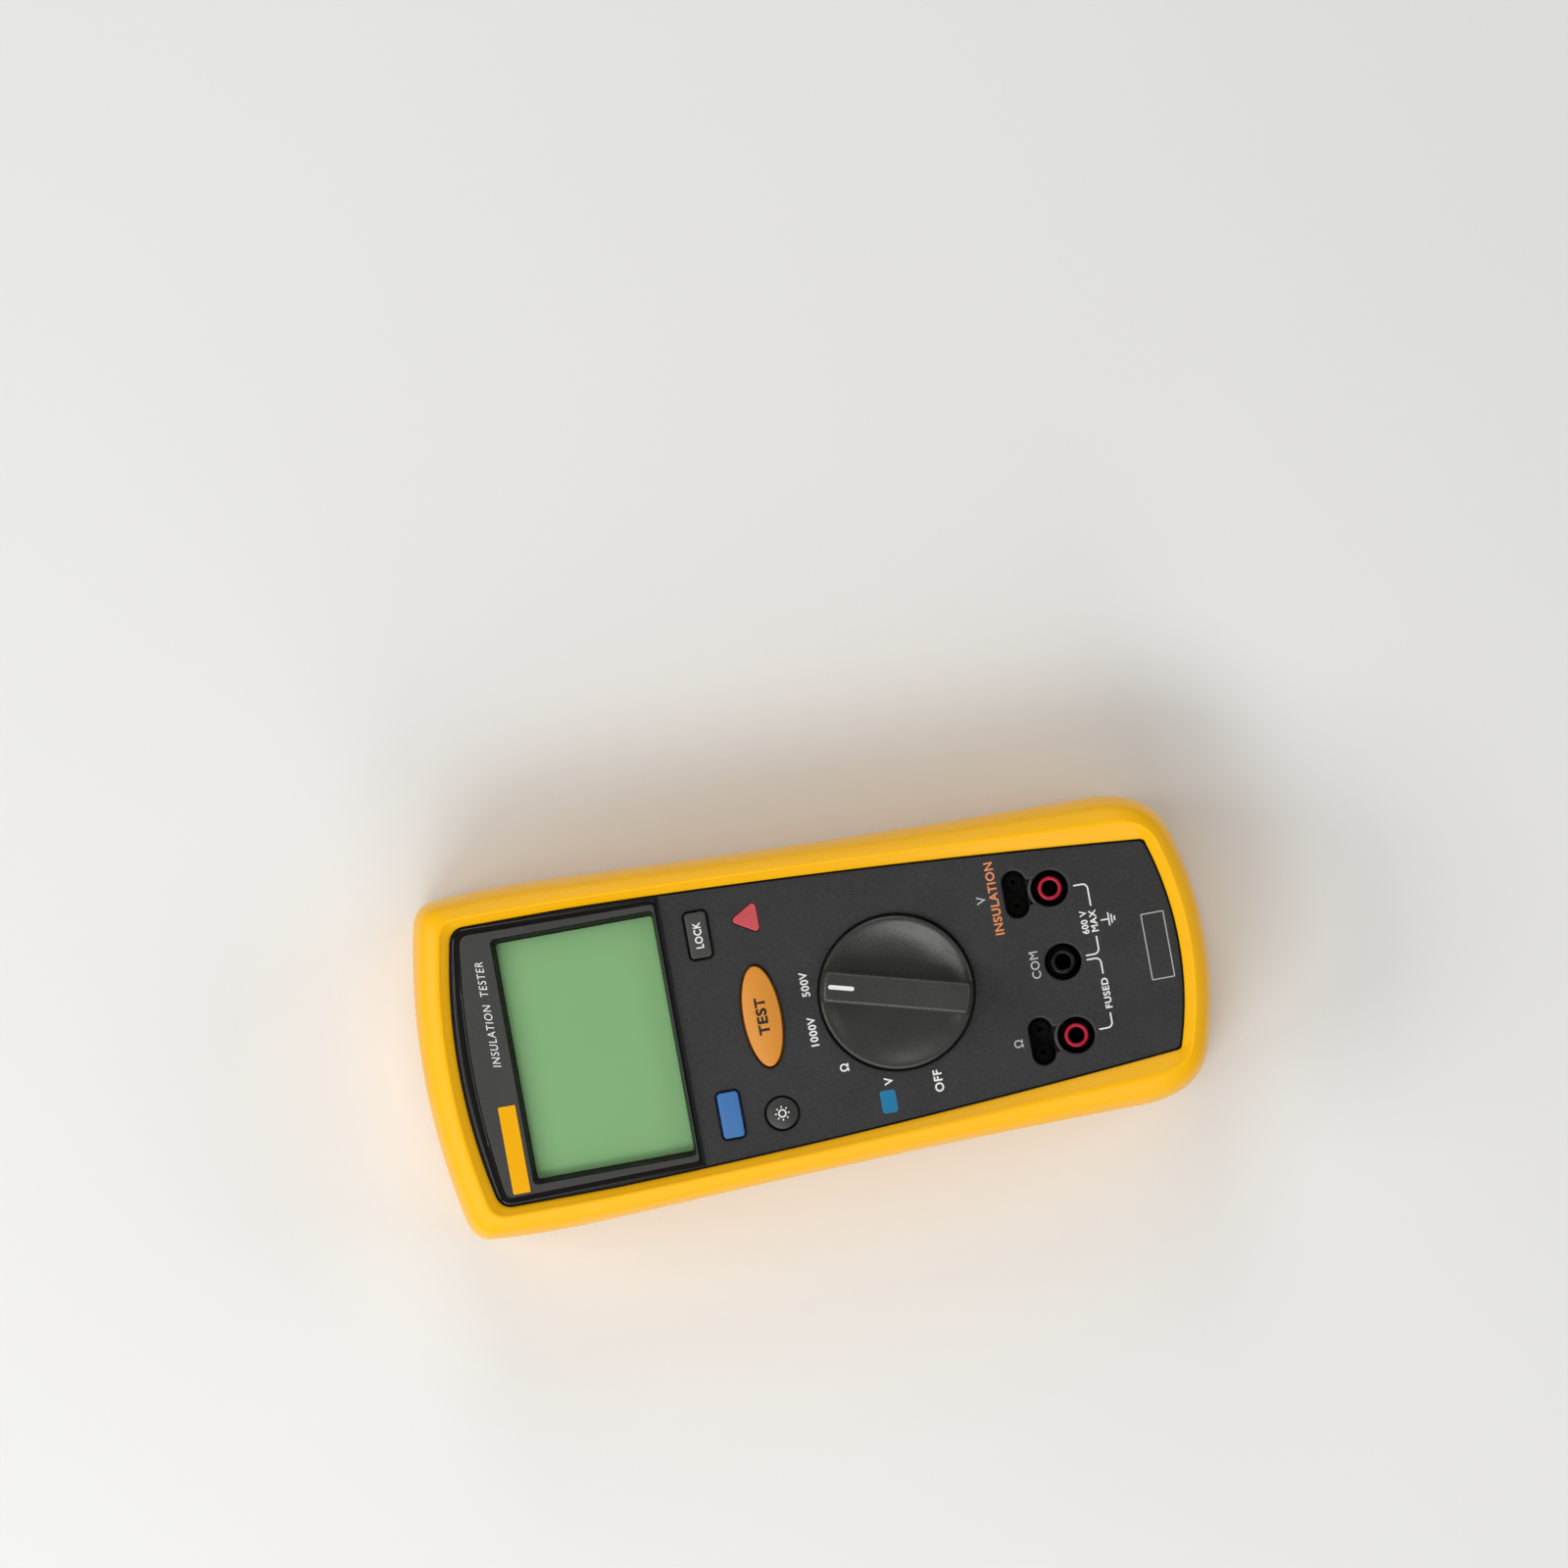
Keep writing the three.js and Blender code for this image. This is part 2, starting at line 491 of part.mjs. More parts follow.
// Twelve stops round the rotor: its edge dips at each.
const STOPS = 12;
function rotorOutline(radius, dip) {
  const points = [];
  for (let i = 0; i < STOPS * 2; i++) {
    const angle = (i / (STOPS * 2)) * 2 * Math.PI;
    const r = radius - dip * (1 + Math.cos(STOPS * angle)) / 2;
    points.push(V(r * Math.cos(angle), r * Math.sin(angle)));
  }
  return points;
}
piece('switch_rotor', cut(
  prism(rotorOutline(13, 0.8), 36.7, 38.5), cylinder(6, 36, 39, 0, 0, 16)), WHITE_PLASTIC, knobGroup);
piece('rotor_contact', cut(
  join(...[0, 120, 240].map((degrees) => prism(
    roundedRect(10.4, 2.6, 1, 0, 0, 2).map((p) => p.clone().add(V(6.2, 0)).rotateAround(V(0, 0), degrees * Math.PI / 180)),
    35.95, 36.35)), cylinder(4.4, 35.95, 36.35, 0, 0, 16)),
  cylinder(2, 35, 37, 0, 0, 12),
), COPPER, knobGroup);

const SPRING_ARC = { radius: 14.6, width: 0.8, half: Math.PI * 0.8 };
piece('detent_spring', join(
  (() => {
    const { radius, width, half } = SPRING_ARC;
    const outside = new THREE.EllipseCurve(0, 0, radius + width, radius + width, -half, half).getPoints(16);
    const within = new THREE.EllipseCurve(0, 0, radius, radius, -half, half).getPoints(16).reverse();
    return prism([...outside, ...within], 36.7, 38.3);
  })(),
  cylinder(1.2, 36.7, 38.3, SPRING_ARC.radius - 0.2, 0, 10),
  ...[-1, 1].map((side) => {
    const end = new THREE.Vector2(SPRING_ARC.radius + 0.4, 0).rotateAround(V(0, 0), side * SPRING_ARC.half);
    return cylinder(1.4, 36.7, 38.3, end.x, end.y, 10);
  }),
), STEEL, knobGroup);

// ---------- input terminals ----------

const blockTop = FACE_Z - FACE_WALL - GAP;
piece('terminal_block', cut(
  box(-27, 27, -72, -50.6, 15.8, blockTop),
  ...[-1, 0, 1].map((i) => join(
    cylinder(JACK.bore, JACK.floor, blockTop + 1, i * JACK.pitch, JACK.y, 20),
    cylinder(1.6, 15, JACK.floor + 1, i * JACK.pitch, JACK.y, 10))),
  ...[-1, 1].map((i) => join(
    prism(roundedRect(2 * REMOTE.halfWidth, 2 * REMOTE.halfHeight, REMOTE.halfHeight - 0.01, i * JACK.pitch, JACK.y + REMOTE.dy, 4),
      REMOTE.floor, blockTop + 1),
    ...[-1, 1].map((j) => cylinder(
      1.7, 15, blockTop, i * JACK.pitch + j * REMOTE.pinPitch / 2, JACK.y + REMOTE.dy, 10)))),
), BLACK_PLASTIC);

const JACKS = [['ohms', -1, RED_PLASTIC], ['common', 0, BLACK_PLASTIC], ['volts', 1, RED_PLASTIC]];
for (const [name, i, color] of JACKS) {
  const at = [i * JACK.pitch, JACK.y, 0];
  piece(`jack_sleeve_${name}`, turned([
    [2.75, JACK.floor + 0.2], [3.6, JACK.floor + 0.2], [3.6, JACK.floor + 1.6], [JACK.sleeve, JACK.floor + 1.6],
    [JACK.sleeve, JACK.top], [JACK.mouth, JACK.top], [JACK.mouth, 37.5], [2.75, 36.8],
  ], 0, 0, 16), color, tester, at);
  piece(`jack_contact_${name}`, turned([
    [0, 13.4], [1.2, 13.4], [1.2, JACK.floor + 0.3], [2.5, JACK.floor + 0.3], [2.5, 36.2], [2, 36.5],
    [2, JACK.floor + 2], [0, JACK.floor + 2],
  ], 0, 0, 12), BRASS, tester, at);
}
for (const [name, i] of [['ohms', -1], ['volts', 1]]) {
  const tube = (j) => cut(
    cylinder(1.35, 22.4, 34.4, j * REMOTE.pinPitch / 2, 0, 10), cylinder(0.75, 24.4, 35, j * REMOTE.pinPitch / 2, 0, 6));
  piece(`remote_socket_${name}`, join(
    tube(-1), tube(1), box(-REMOTE.pinPitch / 2 - 1, REMOTE.pinPitch / 2 + 1, -0.6, 0.6, 14.6, 15.5),
    ...[-1, 1].map((j) => box(j * REMOTE.pinPitch / 2 - 0.5, j * REMOTE.pinPitch / 2 + 0.5, -0.5, 0.5, 15, 22.6)),
  ), BRASS, tester, [i * JACK.pitch, JACK.y + REMOTE.dy, 0]);
}

// ---------- circuit ----------

const boardOutline = bodyOutline(OUTER, HOLSTER_WALL + GAP + CASE_WALL + 1.1);
const boardTop = BOARD_Z + BOARD_THICKNESS;
piece('main_board', cut(
  prism(boardOutline, BOARD_Z, boardTop).intersect(box(-60, 60, -80, 84, 0, 60)),
  box(-27.6, 27.6, -72.6, -50, 0, 60),
  ...SCREWS.map(([x, y]) => cylinder(BOSS.radius + 0.5, 30, 40, x, y, 16)),
), BOARD_GREEN);
piece('processor_chip', box(-7, 7, -7, 7, -1.6, -0.1), BLACK_PLASTIC, tester, [8, 46, BOARD_Z]);
const TRANSFORMER = { at: [-12, -24, BOARD_Z], halfLength: 8, halfWidth: 8.5, legHalf: 2.6, low: -17 };
piece('transformer_core', cut(
  box(-TRANSFORMER.halfLength, TRANSFORMER.halfLength, -TRANSFORMER.halfWidth, TRANSFORMER.halfWidth, TRANSFORMER.low, -0.1),
  box(-12, 12, -TRANSFORMER.legHalf - 3, -TRANSFORMER.legHalf, TRANSFORMER.low + 3.4, -3.4),
  box(-12, 12, TRANSFORMER.legHalf, TRANSFORMER.legHalf + 3, TRANSFORMER.low + 3.4, -3.4),
), FERRITE, tester, TRANSFORMER.at);
piece('transformer_winding', cut(
  prism(roundedRect(2 * TRANSFORMER.halfLength + 5.4, 2 * TRANSFORMER.legHalf + 5.2, 2.4), TRANSFORMER.low + 3.8, -3.8),
  prism(roundedRect(2 * TRANSFORMER.halfLength + 0.6, 2 * TRANSFORMER.legHalf + 0.6, 0.4, 0, 0, 1), -30, 0),
), COPPER, tester, TRANSFORMER.at);
for (const [i, x] of [8, 19].entries()) {
  piece(`film_capacitor_${i + 1}`, box(-4, 4, -9, 9, -13, -0.1), FILM_BLUE, tester, [x, -22, BOARD_Z]);
}
piece('relay', box(-7.5, 7.5, -5, 5, -10, -0.1), BLACK_PLASTIC, tester, [14, 0, BOARD_Z]);
piece('input_varistor', turned([[0, -0.1], [5, -0.1], [5, -4.2], [0, -4.2]], 0, 0, 20), FILM_BLUE, tester, [0, -42, BOARD_Z]);
piece('beeper', turned([[0, -0.1], [6, -0.1], [6, -4], [1, -4], [1, -3], [0, -3]], 0, 0, 24), BLACK_PLASTIC, tester, [-20, -2, BOARD_Z]);

// ---------- battery bay ----------

for (let i = 0; i < 4; i++) {
  const x = (i - 1.5) * CELL.pitch;
  const flip = i % 2 ? -1 : 1;
  const cell = join(
    rod(CELL.radius, CELL.length - 1.4, 0, -0.7 * flip, 0, 'y', 24),
    rod(2.7, 1.6, 0, (CELL.length / 2 - 0.8) * flip, 0, 'y', 16));
  piece(`battery_cell_${i + 1}`, cell, CELL_LABEL, tester, [x, CELL.y, CELL.z]);
}
for (const [name, side] of [['lower', -1], ['upper', 1]]) {
  const inward = -side;
  const springs = [0, 1, 2, 3].map((i) => {
    const x = (i - 1.5) * CELL.pitch;
    const facesSpring = (i % 2 === 0) === (side < 0);
    const [radius, reach] = facesSpring ? [3.2, 1.9] : [2.2, 1];
    return rod(radius, reach, x, inward * (0.4 + reach / 2), 0, 'y', 12);
  });
  piece(`battery_contacts_${name}`, join(box(-28.6, 28.6, -0.5, 0.5, -6.6, 6.6), ...springs), STEEL, tester,
    [0, CELL.y + side * (CELL.length / 2 + 2.8), CELL.z]);
}
const FUSE = { y: 19.9, z: 13.6, clip: 12 };
piece('fuse', rod(3.15, 31.6, 0, FUSE.y, FUSE.z, 'x', 16), GLASS);
for (const [name, side] of [['left', -1], ['right', 1]]) {
  piece(`fuse_clip_${name}`, cut(
    box(-3, 3, -4, 4, -3.6, 6.2), rod(3.5, 8, 0, 0, 0, 'x', 16), box(-4, 4, -2.6, 2.6, -5, 0),
  ), BRASS, tester, [side * FUSE.clip, FUSE.y, FUSE.z]);
}

// ---------- battery door and its quarter-turn latches ----------

const doorMiddle = (DOOR.low + DOOR.high) / 2;
piece('battery_door', cut(
  prism(roundedRect(2 * DOOR.halfWidth, DOOR.high - DOOR.low, 2.8, 0, doorMiddle), BACK_Z, BACK_Z + DOOR.thickness),
  ...[-1, 1].map((side) => cylinder(LATCH.radius + GAP, 0, 10, side * LATCH.x, LATCH.y, 20)),
), CASE_PLASTIC);
for (const [name, side] of [['left', -1], ['right', 1]]) {
  piece(`door_latch_${name}`, cut(
    join(
      turned([[0, BACK_Z], [LATCH.radius - 0.4, BACK_Z], [LATCH.radius, BACK_Z + 0.4], [LATCH.radius, 4.9],
        [1.9, 5.2], [1.9, 8.6], [0, 8.6]], 0, 0, 16),
      box(Math.min(0, side * 5.4), Math.max(0, side * 5.4), -1.6, 1.6, 6.2, 8.4)),
    box(-2.6, 2.6, -0.5, 0.5, 0, BACK_Z + 1.2),
  ), BLACK_PLASTIC, tester, [side * LATCH.x, LATCH.y, 0]);
}

// ---------- tilt stand ----------

piece('tilt_stand', cut(
  join(
    prism(roundedRect(2 * STAND.halfWidth, STAND.hingeY - STAND.low, 3, 0, (STAND.hingeY + STAND.low) / 2),
      BACK_Z + 0.1, BACK_Z + 0.1 + STAND.thickness).intersect(box(-30, 30, STAND.low - 1, STAND.hingeY, 0, 10)),
    rod(2.5, 2 * STAND.halfWidth, 0, STAND.hingeY, STAND.hingeZ),
    rod(STAND.pin, 2 * STAND.halfWidth + 4.6, 0, STAND.hingeY, STAND.hingeZ)),
  box(-15, 15, -66, -8, 4.6, 8),
), CASE_PLASTIC);

export default tester;
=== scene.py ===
"""Handheld insulation resistance tester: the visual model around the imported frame.

Lengths in this script are millimetres in the tester's frame; meshes are scaled to metres as they are made.
+X is the tester's right, +Y its display end and +Z comes out of its face.
"""
import math

import bmesh
import bpy
from mathutils import Matrix, Vector, geometry


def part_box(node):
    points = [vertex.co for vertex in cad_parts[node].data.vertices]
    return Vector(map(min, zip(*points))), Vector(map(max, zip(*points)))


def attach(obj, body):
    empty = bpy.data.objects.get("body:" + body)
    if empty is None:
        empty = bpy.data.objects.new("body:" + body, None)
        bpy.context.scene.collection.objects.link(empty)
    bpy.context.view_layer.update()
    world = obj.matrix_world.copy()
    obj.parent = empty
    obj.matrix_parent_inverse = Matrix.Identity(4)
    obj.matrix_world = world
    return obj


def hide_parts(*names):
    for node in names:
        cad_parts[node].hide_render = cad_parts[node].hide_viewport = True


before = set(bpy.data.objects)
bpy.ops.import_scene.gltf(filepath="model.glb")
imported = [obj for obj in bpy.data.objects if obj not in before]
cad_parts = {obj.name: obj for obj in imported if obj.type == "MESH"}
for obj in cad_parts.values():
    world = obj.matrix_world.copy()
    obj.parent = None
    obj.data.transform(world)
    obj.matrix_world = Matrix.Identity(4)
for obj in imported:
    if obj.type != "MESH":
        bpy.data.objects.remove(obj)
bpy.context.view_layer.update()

MM = 0.001
TAU = 2 * math.pi


class Box:
    """A CAD node's box at rest, in millimetres: tail and head are its ends along Y."""

    def __init__(self, node):
        low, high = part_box(node)
        self.left, self.tail, self.bottom = (value / MM for value in low)
        self.right, self.head, self.top = (value / MM for value in high)
        self.x, self.width = (self.left + self.right) / 2, self.right - self.left
        self.y, self.length = (self.tail + self.head) / 2, self.head - self.tail
        self.z, self.depth = (self.bottom + self.top) / 2, self.top - self.bottom


# ---------- sizes read from the frame ----------

REAR = Box("rear_case")
KNOB = Box("rotary_knob")
BLOCK = Box("terminal_block")
SLEEVE = Box("jack_sleeve_common")
WINDOW = Box("display_window")
DOOR = Box("battery_door")
STAND = Box("tilt_stand")
SCREWS = [Box(f"case_screw_{index}") for index in range(1, 7)]

GAP = 0.3
FACE_Z = Box("front_case").top
FLANGE_Z = BLOCK.top
FACE_UNDER = FLANGE_Z + GAP
BACK_Z = REAR.bottom
CREST_Z = Box("holster").top
PLATE_Z = Box("display_bezel").top
KNOB_RADIUS = 19.6
KNOB_TURN = -15
JACK_Y = SLEEVE.y
JACK_PITCH = (Box("jack_sleeve_volts").left - Box("jack_sleeve_ohms").left) / 2
JACK_BORE = 4.65
SLOT_DY = 8.9
SLOT_HALF_WIDTH = 6.1
SLOT_HALF_HEIGHT = 3.0
PIN_PITCH = 6.2
LATCH_RADIUS = 3.6
LATCH_X = Box("door_latch_right").left + LATCH_RADIUS
LATCH_Y = 18.6
HINGE_RADIUS = 2.5
HINGE_Y = STAND.head - HINGE_RADIUS
HINGE_Z = STAND.top - HINGE_RADIUS


# ---------- curves and outlines ----------

def arc(cx, cy, radius, start, end, steps, tall=None):
    """Points from start to end, in degrees, on a circle, or on an ellipse whose half height is tall."""
    tall = radius if tall is None else tall
    angles = [math.radians(start + (end - start) * i / steps) for i in range(steps + 1)]
    return [(cx + radius * math.cos(angle), cy + tall * math.sin(angle)) for angle in angles]


def bezier(controls, steps):
    """Points on a Bezier curve of any degree."""
    degree = len(controls) - 1
    points = []
    for i in range(steps + 1):
        t = i / steps
        weights = [math.comb(degree, k) * t ** k * (1 - t) ** (degree - k) for k in range(degree + 1)]
        points.append(tuple(sum(w * c[axis] for w, c in zip(weights, controls)) for axis in (0, 1)))
    return points


def chain(*runs):
    """Joins runs of points, dropping the repeated point where two runs meet."""
    points = []
    for run in runs:
        repeated = points and math.dist(points[-1], run[0]) < 1e-6
        points += run[1:] if repeated else run
    return points


def mirrored(half):
    """The right half of an outline, from its lowest middle point up, with its mirror image."""
    return half + [(-x, y) for x, y in reversed(half[1:-1])]


def mix(first, second, share):
    return [(a[0] + (b[0] - a[0]) * share, a[1] + (b[1] - a[1]) * share) for a, b in zip(first, second)]


def moved(points, dx, dy):
    return [(x + dx, y + dy) for x, y in points]


def turned(points, degrees):
    c, s = math.cos(math.radians(degrees)), math.sin(math.radians(degrees))
    return [(x * c - y * s, x * s + y * c) for x, y in points]


def quarter(cx, cy, radius, start, angles=(0, 22, 45, 68, 90)):
    """A small quarter round: the points of a circle at some angles past start, in degrees."""
    return moved([turned([(radius, 0)], start + angle)[0] for angle in angles], cx, cy)


OUTER = dict(tail_y=-101.5, tail_r=96, tail_span=28, tail_corner=(39.6, -93.9), side_start=(39.9, -78),
             controls=((40.2, -15), (42.8, 30)), shoulder=(44.42, 66), upper=(44.72, 80),
             head_side=(43.9, 91.5), head_corner=(43.6, 96), head_span=38.5, head_y=101.5, head_r=180)
CREST = dict(tail_y=-97.4, tail_r=90, tail_span=25, tail_corner=(32.6, -91.8), side_start=(33, -83),
             controls=((34.6, -45), (37.2, 8)), shoulder=(38.6, 60), upper=(38.8, 74),
             head_side=(38.7, 86.5), head_corner=(38.6, 90.6), head_span=34, head_y=95, head_r=165)
OPENING = dict(tail_y=-94.6, tail_r=87, tail_span=26.3, tail_corner=(27.3, -90.3), side_start=(27.4, -89),
               controls=((31, -50), (34.9, 5)), shoulder=(36.2, 58), upper=(36.3, 72),
               head_side=(36.3, 84.5), head_corner=(36.2, 88), head_span=32.5, head_y=92.2, head_r=155)
BACK_OPENING = dict(tail_y=-93.5, tail_r=88, tail_span=22, tail_corner=(30.6, -89.2), side_start=(31.6, -77),
                    controls=((32, -15), (34.4, 30)), shoulder=(36.2, 66), upper=(36.4, 76),
                    head_side=(35.8, 84), head_corner=(35.4, 91.4), head_span=29, head_y=93.6, head_r=172)


def body_outline(shape, inset=0.0):
    """A body outline drawn in by inset on every side, from the tail's middle."""
    def drawn_in(point, up=0):
        return point[0] - inset, point[1] + up * inset

    tail_r, head_r = shape["tail_r"] - inset, shape["head_r"] - inset
    tail_angle = math.degrees(math.asin((shape["tail_span"] - inset) / tail_r))
    head_angle = math.degrees(math.asin((shape["head_span"] - inset) / head_r))
    tail_arc = arc(0, shape["tail_y"] + shape["tail_r"], tail_r, -90, -90 + tail_angle, 12)
    head_arc = arc(0, shape["head_y"] - shape["head_r"], head_r, 90 - head_angle, 90, 14)
    side_start = drawn_in(shape["side_start"], 1)
    shoulder = drawn_in(shape["shoulder"])
    head_side = drawn_in(shape["head_side"], -1)
    return mirrored(chain(
        tail_arc,
        bezier([tail_arc[-1], drawn_in(shape["tail_corner"], 1), side_start], 14),
        bezier([side_start, *map(drawn_in, shape["controls"]), shoulder], 16),
        bezier([shoulder, drawn_in(shape["upper"]), head_side], 10),
        bezier([head_side, drawn_in(shape["head_corner"], -1), head_arc[0]], 14),
        head_arc,
    ))


def rounded_rect(width, height, corner, x=0.0, y=0.0, steps=8):
    right, left = x + width / 2 - corner, x - width / 2 + corner
    high, low = y + height / 2 - corner, y - height / 2 + corner
    return (arc(right, low, corner, -90, 0, steps) + arc(right, high, corner, 0, 90, steps)
            + arc(left, high, corner, 90, 180, steps) + arc(left, low, corner, 180, 270, steps))


def circle(radius, x=0.0, y=0.0, steps=72):
    return arc(x, y, radius, 0, 360, steps)[:-1]


def ellipse(half_width, half_height, steps=88):
    return arc(0, 0, half_width, 0, 360, steps, half_height)[:-1]


def growing_rect(width, height, corner, x=0.0, y=0.0, steps=8):
    """A rounded rectangle as a function of how far its outline is moved out."""
    return lambda grow=0.0: rounded_rect(width + 2 * grow, height + 2 * grow, corner + grow, x, y, steps)


def growing_circle(radius, x=0.0, y=0.0, steps=72):
    return lambda grow=0.0: circle(radius + grow, x, y, steps)


def growing_body(shape, inset=0.0):
    return lambda grow=0.0: body_outline(shape, inset - grow)


def band(path, width):
    """The outline of a line of one width drawn along a path."""
    left, right = [], []
    for i, (x, y) in enumerate(path):
        back, on = path[max(0, i - 1)], path[min(len(path) - 1, i + 1)]
        dx, dy = on[0] - back[0], on[1] - back[1]
        half = width / 2 / math.hypot(dx, dy)
        left.append((x - dy * half, y + dx * half))
        right.append((x + dy * half, y - dx * half))
    return right + left[::-1]


def jack_opening(index, grow=0.0):
    """The opening round a jack: a round well, and for the outer two a neck and a remote probe's slot."""
    x = index * JACK_PITCH
    radius = JACK_BORE + grow
    if index == 0:
        return circle(radius, x, JACK_Y, 96)
    end = SLOT_HALF_HEIGHT + grow
    reach = SLOT_HALF_WIDTH - SLOT_HALF_HEIGHT
    half_neck = 3.15 + grow
    fillet = 0.9 - grow
    fillet_x = half_neck + fillet
    # the neck's fillets touch the well below and the slot's round ends above
    low_y = math.sqrt((radius + fillet) ** 2 - fillet_x ** 2)
    low_angle = math.degrees(math.atan2(low_y, fillet_x))
    high_y = SLOT_DY - math.sqrt((end + fillet) ** 2 - (fillet_x - reach) ** 2)
    high_angle = math.degrees(math.atan2(high_y - SLOT_DY, fillet_x - reach))
    well = arc(0, 0, radius, 180 - low_angle, 360 + low_angle, 52)
    right = chain(arc(fillet_x, low_y, fillet, 180 + low_angle, 180, 6),
                  arc(fillet_x, high_y, fillet, 180, 180 + high_angle, 6),
                  arc(reach, SLOT_DY, end, high_angle, 90, 20))
    left = [(-px, py) for px, py in reversed(right)]
    return moved(chain(well, right, left)[:-1], x, JACK_Y)


# ---------- meshes ----------

def roll(outline, z, radius, out, up=1, steps=4):
    """Rings that round a flat face's edge over to a wall.

    outline(grow) gives the outline; out is 1 where the face lies outside it, as round a hole, and -1 where
    it lies inside, as on a key; up is 1 under a face that looks up, and -1 over one that looks down.
    """
    rings = []
    for k in range(steps + 1):
        angle = math.pi / 2 * k / steps
        rings.append((z - up * radius * (1 - math.cos(angle)), outline(out * radius * (1 - math.sin(angle)))))
    return rings


class Shell:
    """Walls between rings and flat fills, welded into one closed mesh when it becomes a piece."""

    def __init__(self):
        self.vertices = []
        self.faces = []

    def wall(self, rings, looped=False):
        """Joins rings of (height, outline), each to the next; looped joins the last back to the first."""
        count = len(rings[0][1])
        first = len(self.vertices)
        for z, outline in rings:
            self.vertices += [(x, y, z) for x, y in outline]
        total = len(rings)
        for level in range(total if looped else total - 1):
            above = (level + 1) % total
            for i in range(count):
                j = (i + 1) % count
                self.faces.append((first + level * count + i, first + level * count + j,
                                   first + above * count + j, first + above * count + i))
        return self

    def fill(self, z, outer, holes=()):
        """A flat face inside outer, with holes."""
        loops = [outer, *holes]
        first = len(self.vertices)
        self.vertices += [(x, y, z) for loop in loops for x, y in loop]
        triangles = geometry.tessellate_polygon([[Vector((x, y, 0)) for x, y in loop] for loop in loops])
        self.faces += [tuple(first + i for i in triangle) for triangle in triangles]
        return self

    def stack(self, rings):
        """Walls between rings, closed at both ends."""
        return self.wall(rings).fill(*rings[0]).fill(*rings[-1])

    def bore(self, outline, z, radius, floor, up=1):
        """A hole from the face at z to floor, with a rolled mouth; returns its outline in each of the two."""
        rim = roll(outline, z, radius, 1, up)
        self.wall([*rim, (floor, outline(0))])
        return rim[0][1], outline(0)

    def dent(self, outline, z, radius, depth, up=-1, taper=0.15):
        """A blind recess with a rolled mouth and a tapered foot; returns its outline in the face at z."""
        rim = roll(outline, z, radius, 1, up)
        foot = [(z - up * depth, outline(0))]
        if taper:
            foot.append((z - up * (depth + 0.1), outline(-taper)))
        self.wall([*rim, *foot]).fill(*foot[-1])
        return rim[0][1]

    def add(self, other):
        first = len(self.vertices)
        self.vertices += other.vertices
        self.faces += [tuple(first + i for i in face) for face in other.faces]
        return self

    def lay(self, along, at):
        """Turns a shell made round Z to lie along X or Y, and moves it."""
        turn = Matrix.Rotation(math.pi / 2, 3, "Y") if along == "x" else Matrix.Rotation(-math.pi / 2, 3, "X")
        self.vertices = [tuple(turn @ Vector(vertex) + Vector(at)) for vertex in self.vertices]
        return self


def slab(outline, low, high):
    """A plain upright solid."""
    return Shell().stack([(low, outline), (high, outline)])


def lathe(profile, x=0.0, y=0.0, steps=64):
    """A profile of (radius, height) turned round Z; it starts and ends on the axis, or closes on itself."""
    if profile[0][0] == 0:
        return Shell().stack([(z, circle(radius, x, y, steps)) for radius, z in profile[1:-1]])
    return Shell().wall([(z, circle(radius, x, y, steps)) for radius, z in profile], looped=True)


def smooth(mesh, degrees):
    mesh.shade_smooth()
    mesh.set_sharp_from_angle(angle=math.radians(degrees))


def add_object(name, data):
    obj = bpy.data.objects.new(name, data)
    bpy.context.collection.objects.link(obj)
    return obj


def mesh_object(name, shell, degrees=32):
    """A Shell's object, in metres, welded, with its faces pointing out."""
    mesh = bpy.data.meshes.new(name)
    mesh.from_pydata([(x * MM, y * MM, z * MM) for x, y, z in shell.vertices], [], shell.faces)
    work = bmesh.new()
    work.from_mesh(mesh)
    bmesh.ops.remove_doubles(work, verts=work.verts, dist=2e-6)
    bmesh.ops.recalc_face_normals(work, faces=work.faces)
    work.to_mesh(mesh)
    work.free()
    smooth(mesh, degrees)
    return add_object(name, mesh)


def combine(obj, other, operation, degrees=32):
    """Joins or cuts one object with another, and drops the other."""
    modifier = obj.modifiers.new("combine", "BOOLEAN")
    modifier.operation = operation
    modifier.solver = "EXACT"
    modifier.object = other
    graph = bpy.context.evaluated_depsgraph_get()
    mesh = bpy.data.meshes.new_from_object(obj.evaluated_get(graph))
    obj.modifiers.clear()
    used = [obj.data, other.data]
    obj.data = mesh
    bpy.data.objects.remove(other)
    for old in used:
        bpy.data.meshes.remove(old)
    smooth(mesh, degrees)
    return obj


def set_piece(obj, material, slot, node=None, body="housing"):
    """Gives an object its material and the body it rides on, and hides the CAD node it stands for; its slot
    is not used.
    """
    obj.data.materials.clear()
    obj.data.materials.append(material)
    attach(obj, body)
    if node:
        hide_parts(node)


def weighted_piece(obj, *details, **more):
    """A piece whose flat faces stay flat beside their rounded edges; its details are set_piece's."""
    modifier = obj.modifiers.new("flat_faces", "WEIGHTED_NORMAL")
    modifier.keep_sharp = True
    modifier.weight = 80
    set_piece(obj, *details, **more)


def piece(name, shell, material, slot, node=None, body="housing", degrees=32):
    weighted_piece(mesh_object(name, shell, degrees), material, slot, node, body)


# ---------- materials ----------

def srgb(*channels):
    """8-bit sRGB channels as linear values."""
    scaled = [value / 255 for value in channels]
    return tuple(c / 12.92 if c <= 0.04045 else ((c + 0.055) / 1.055) ** 2.4 for c in scaled)


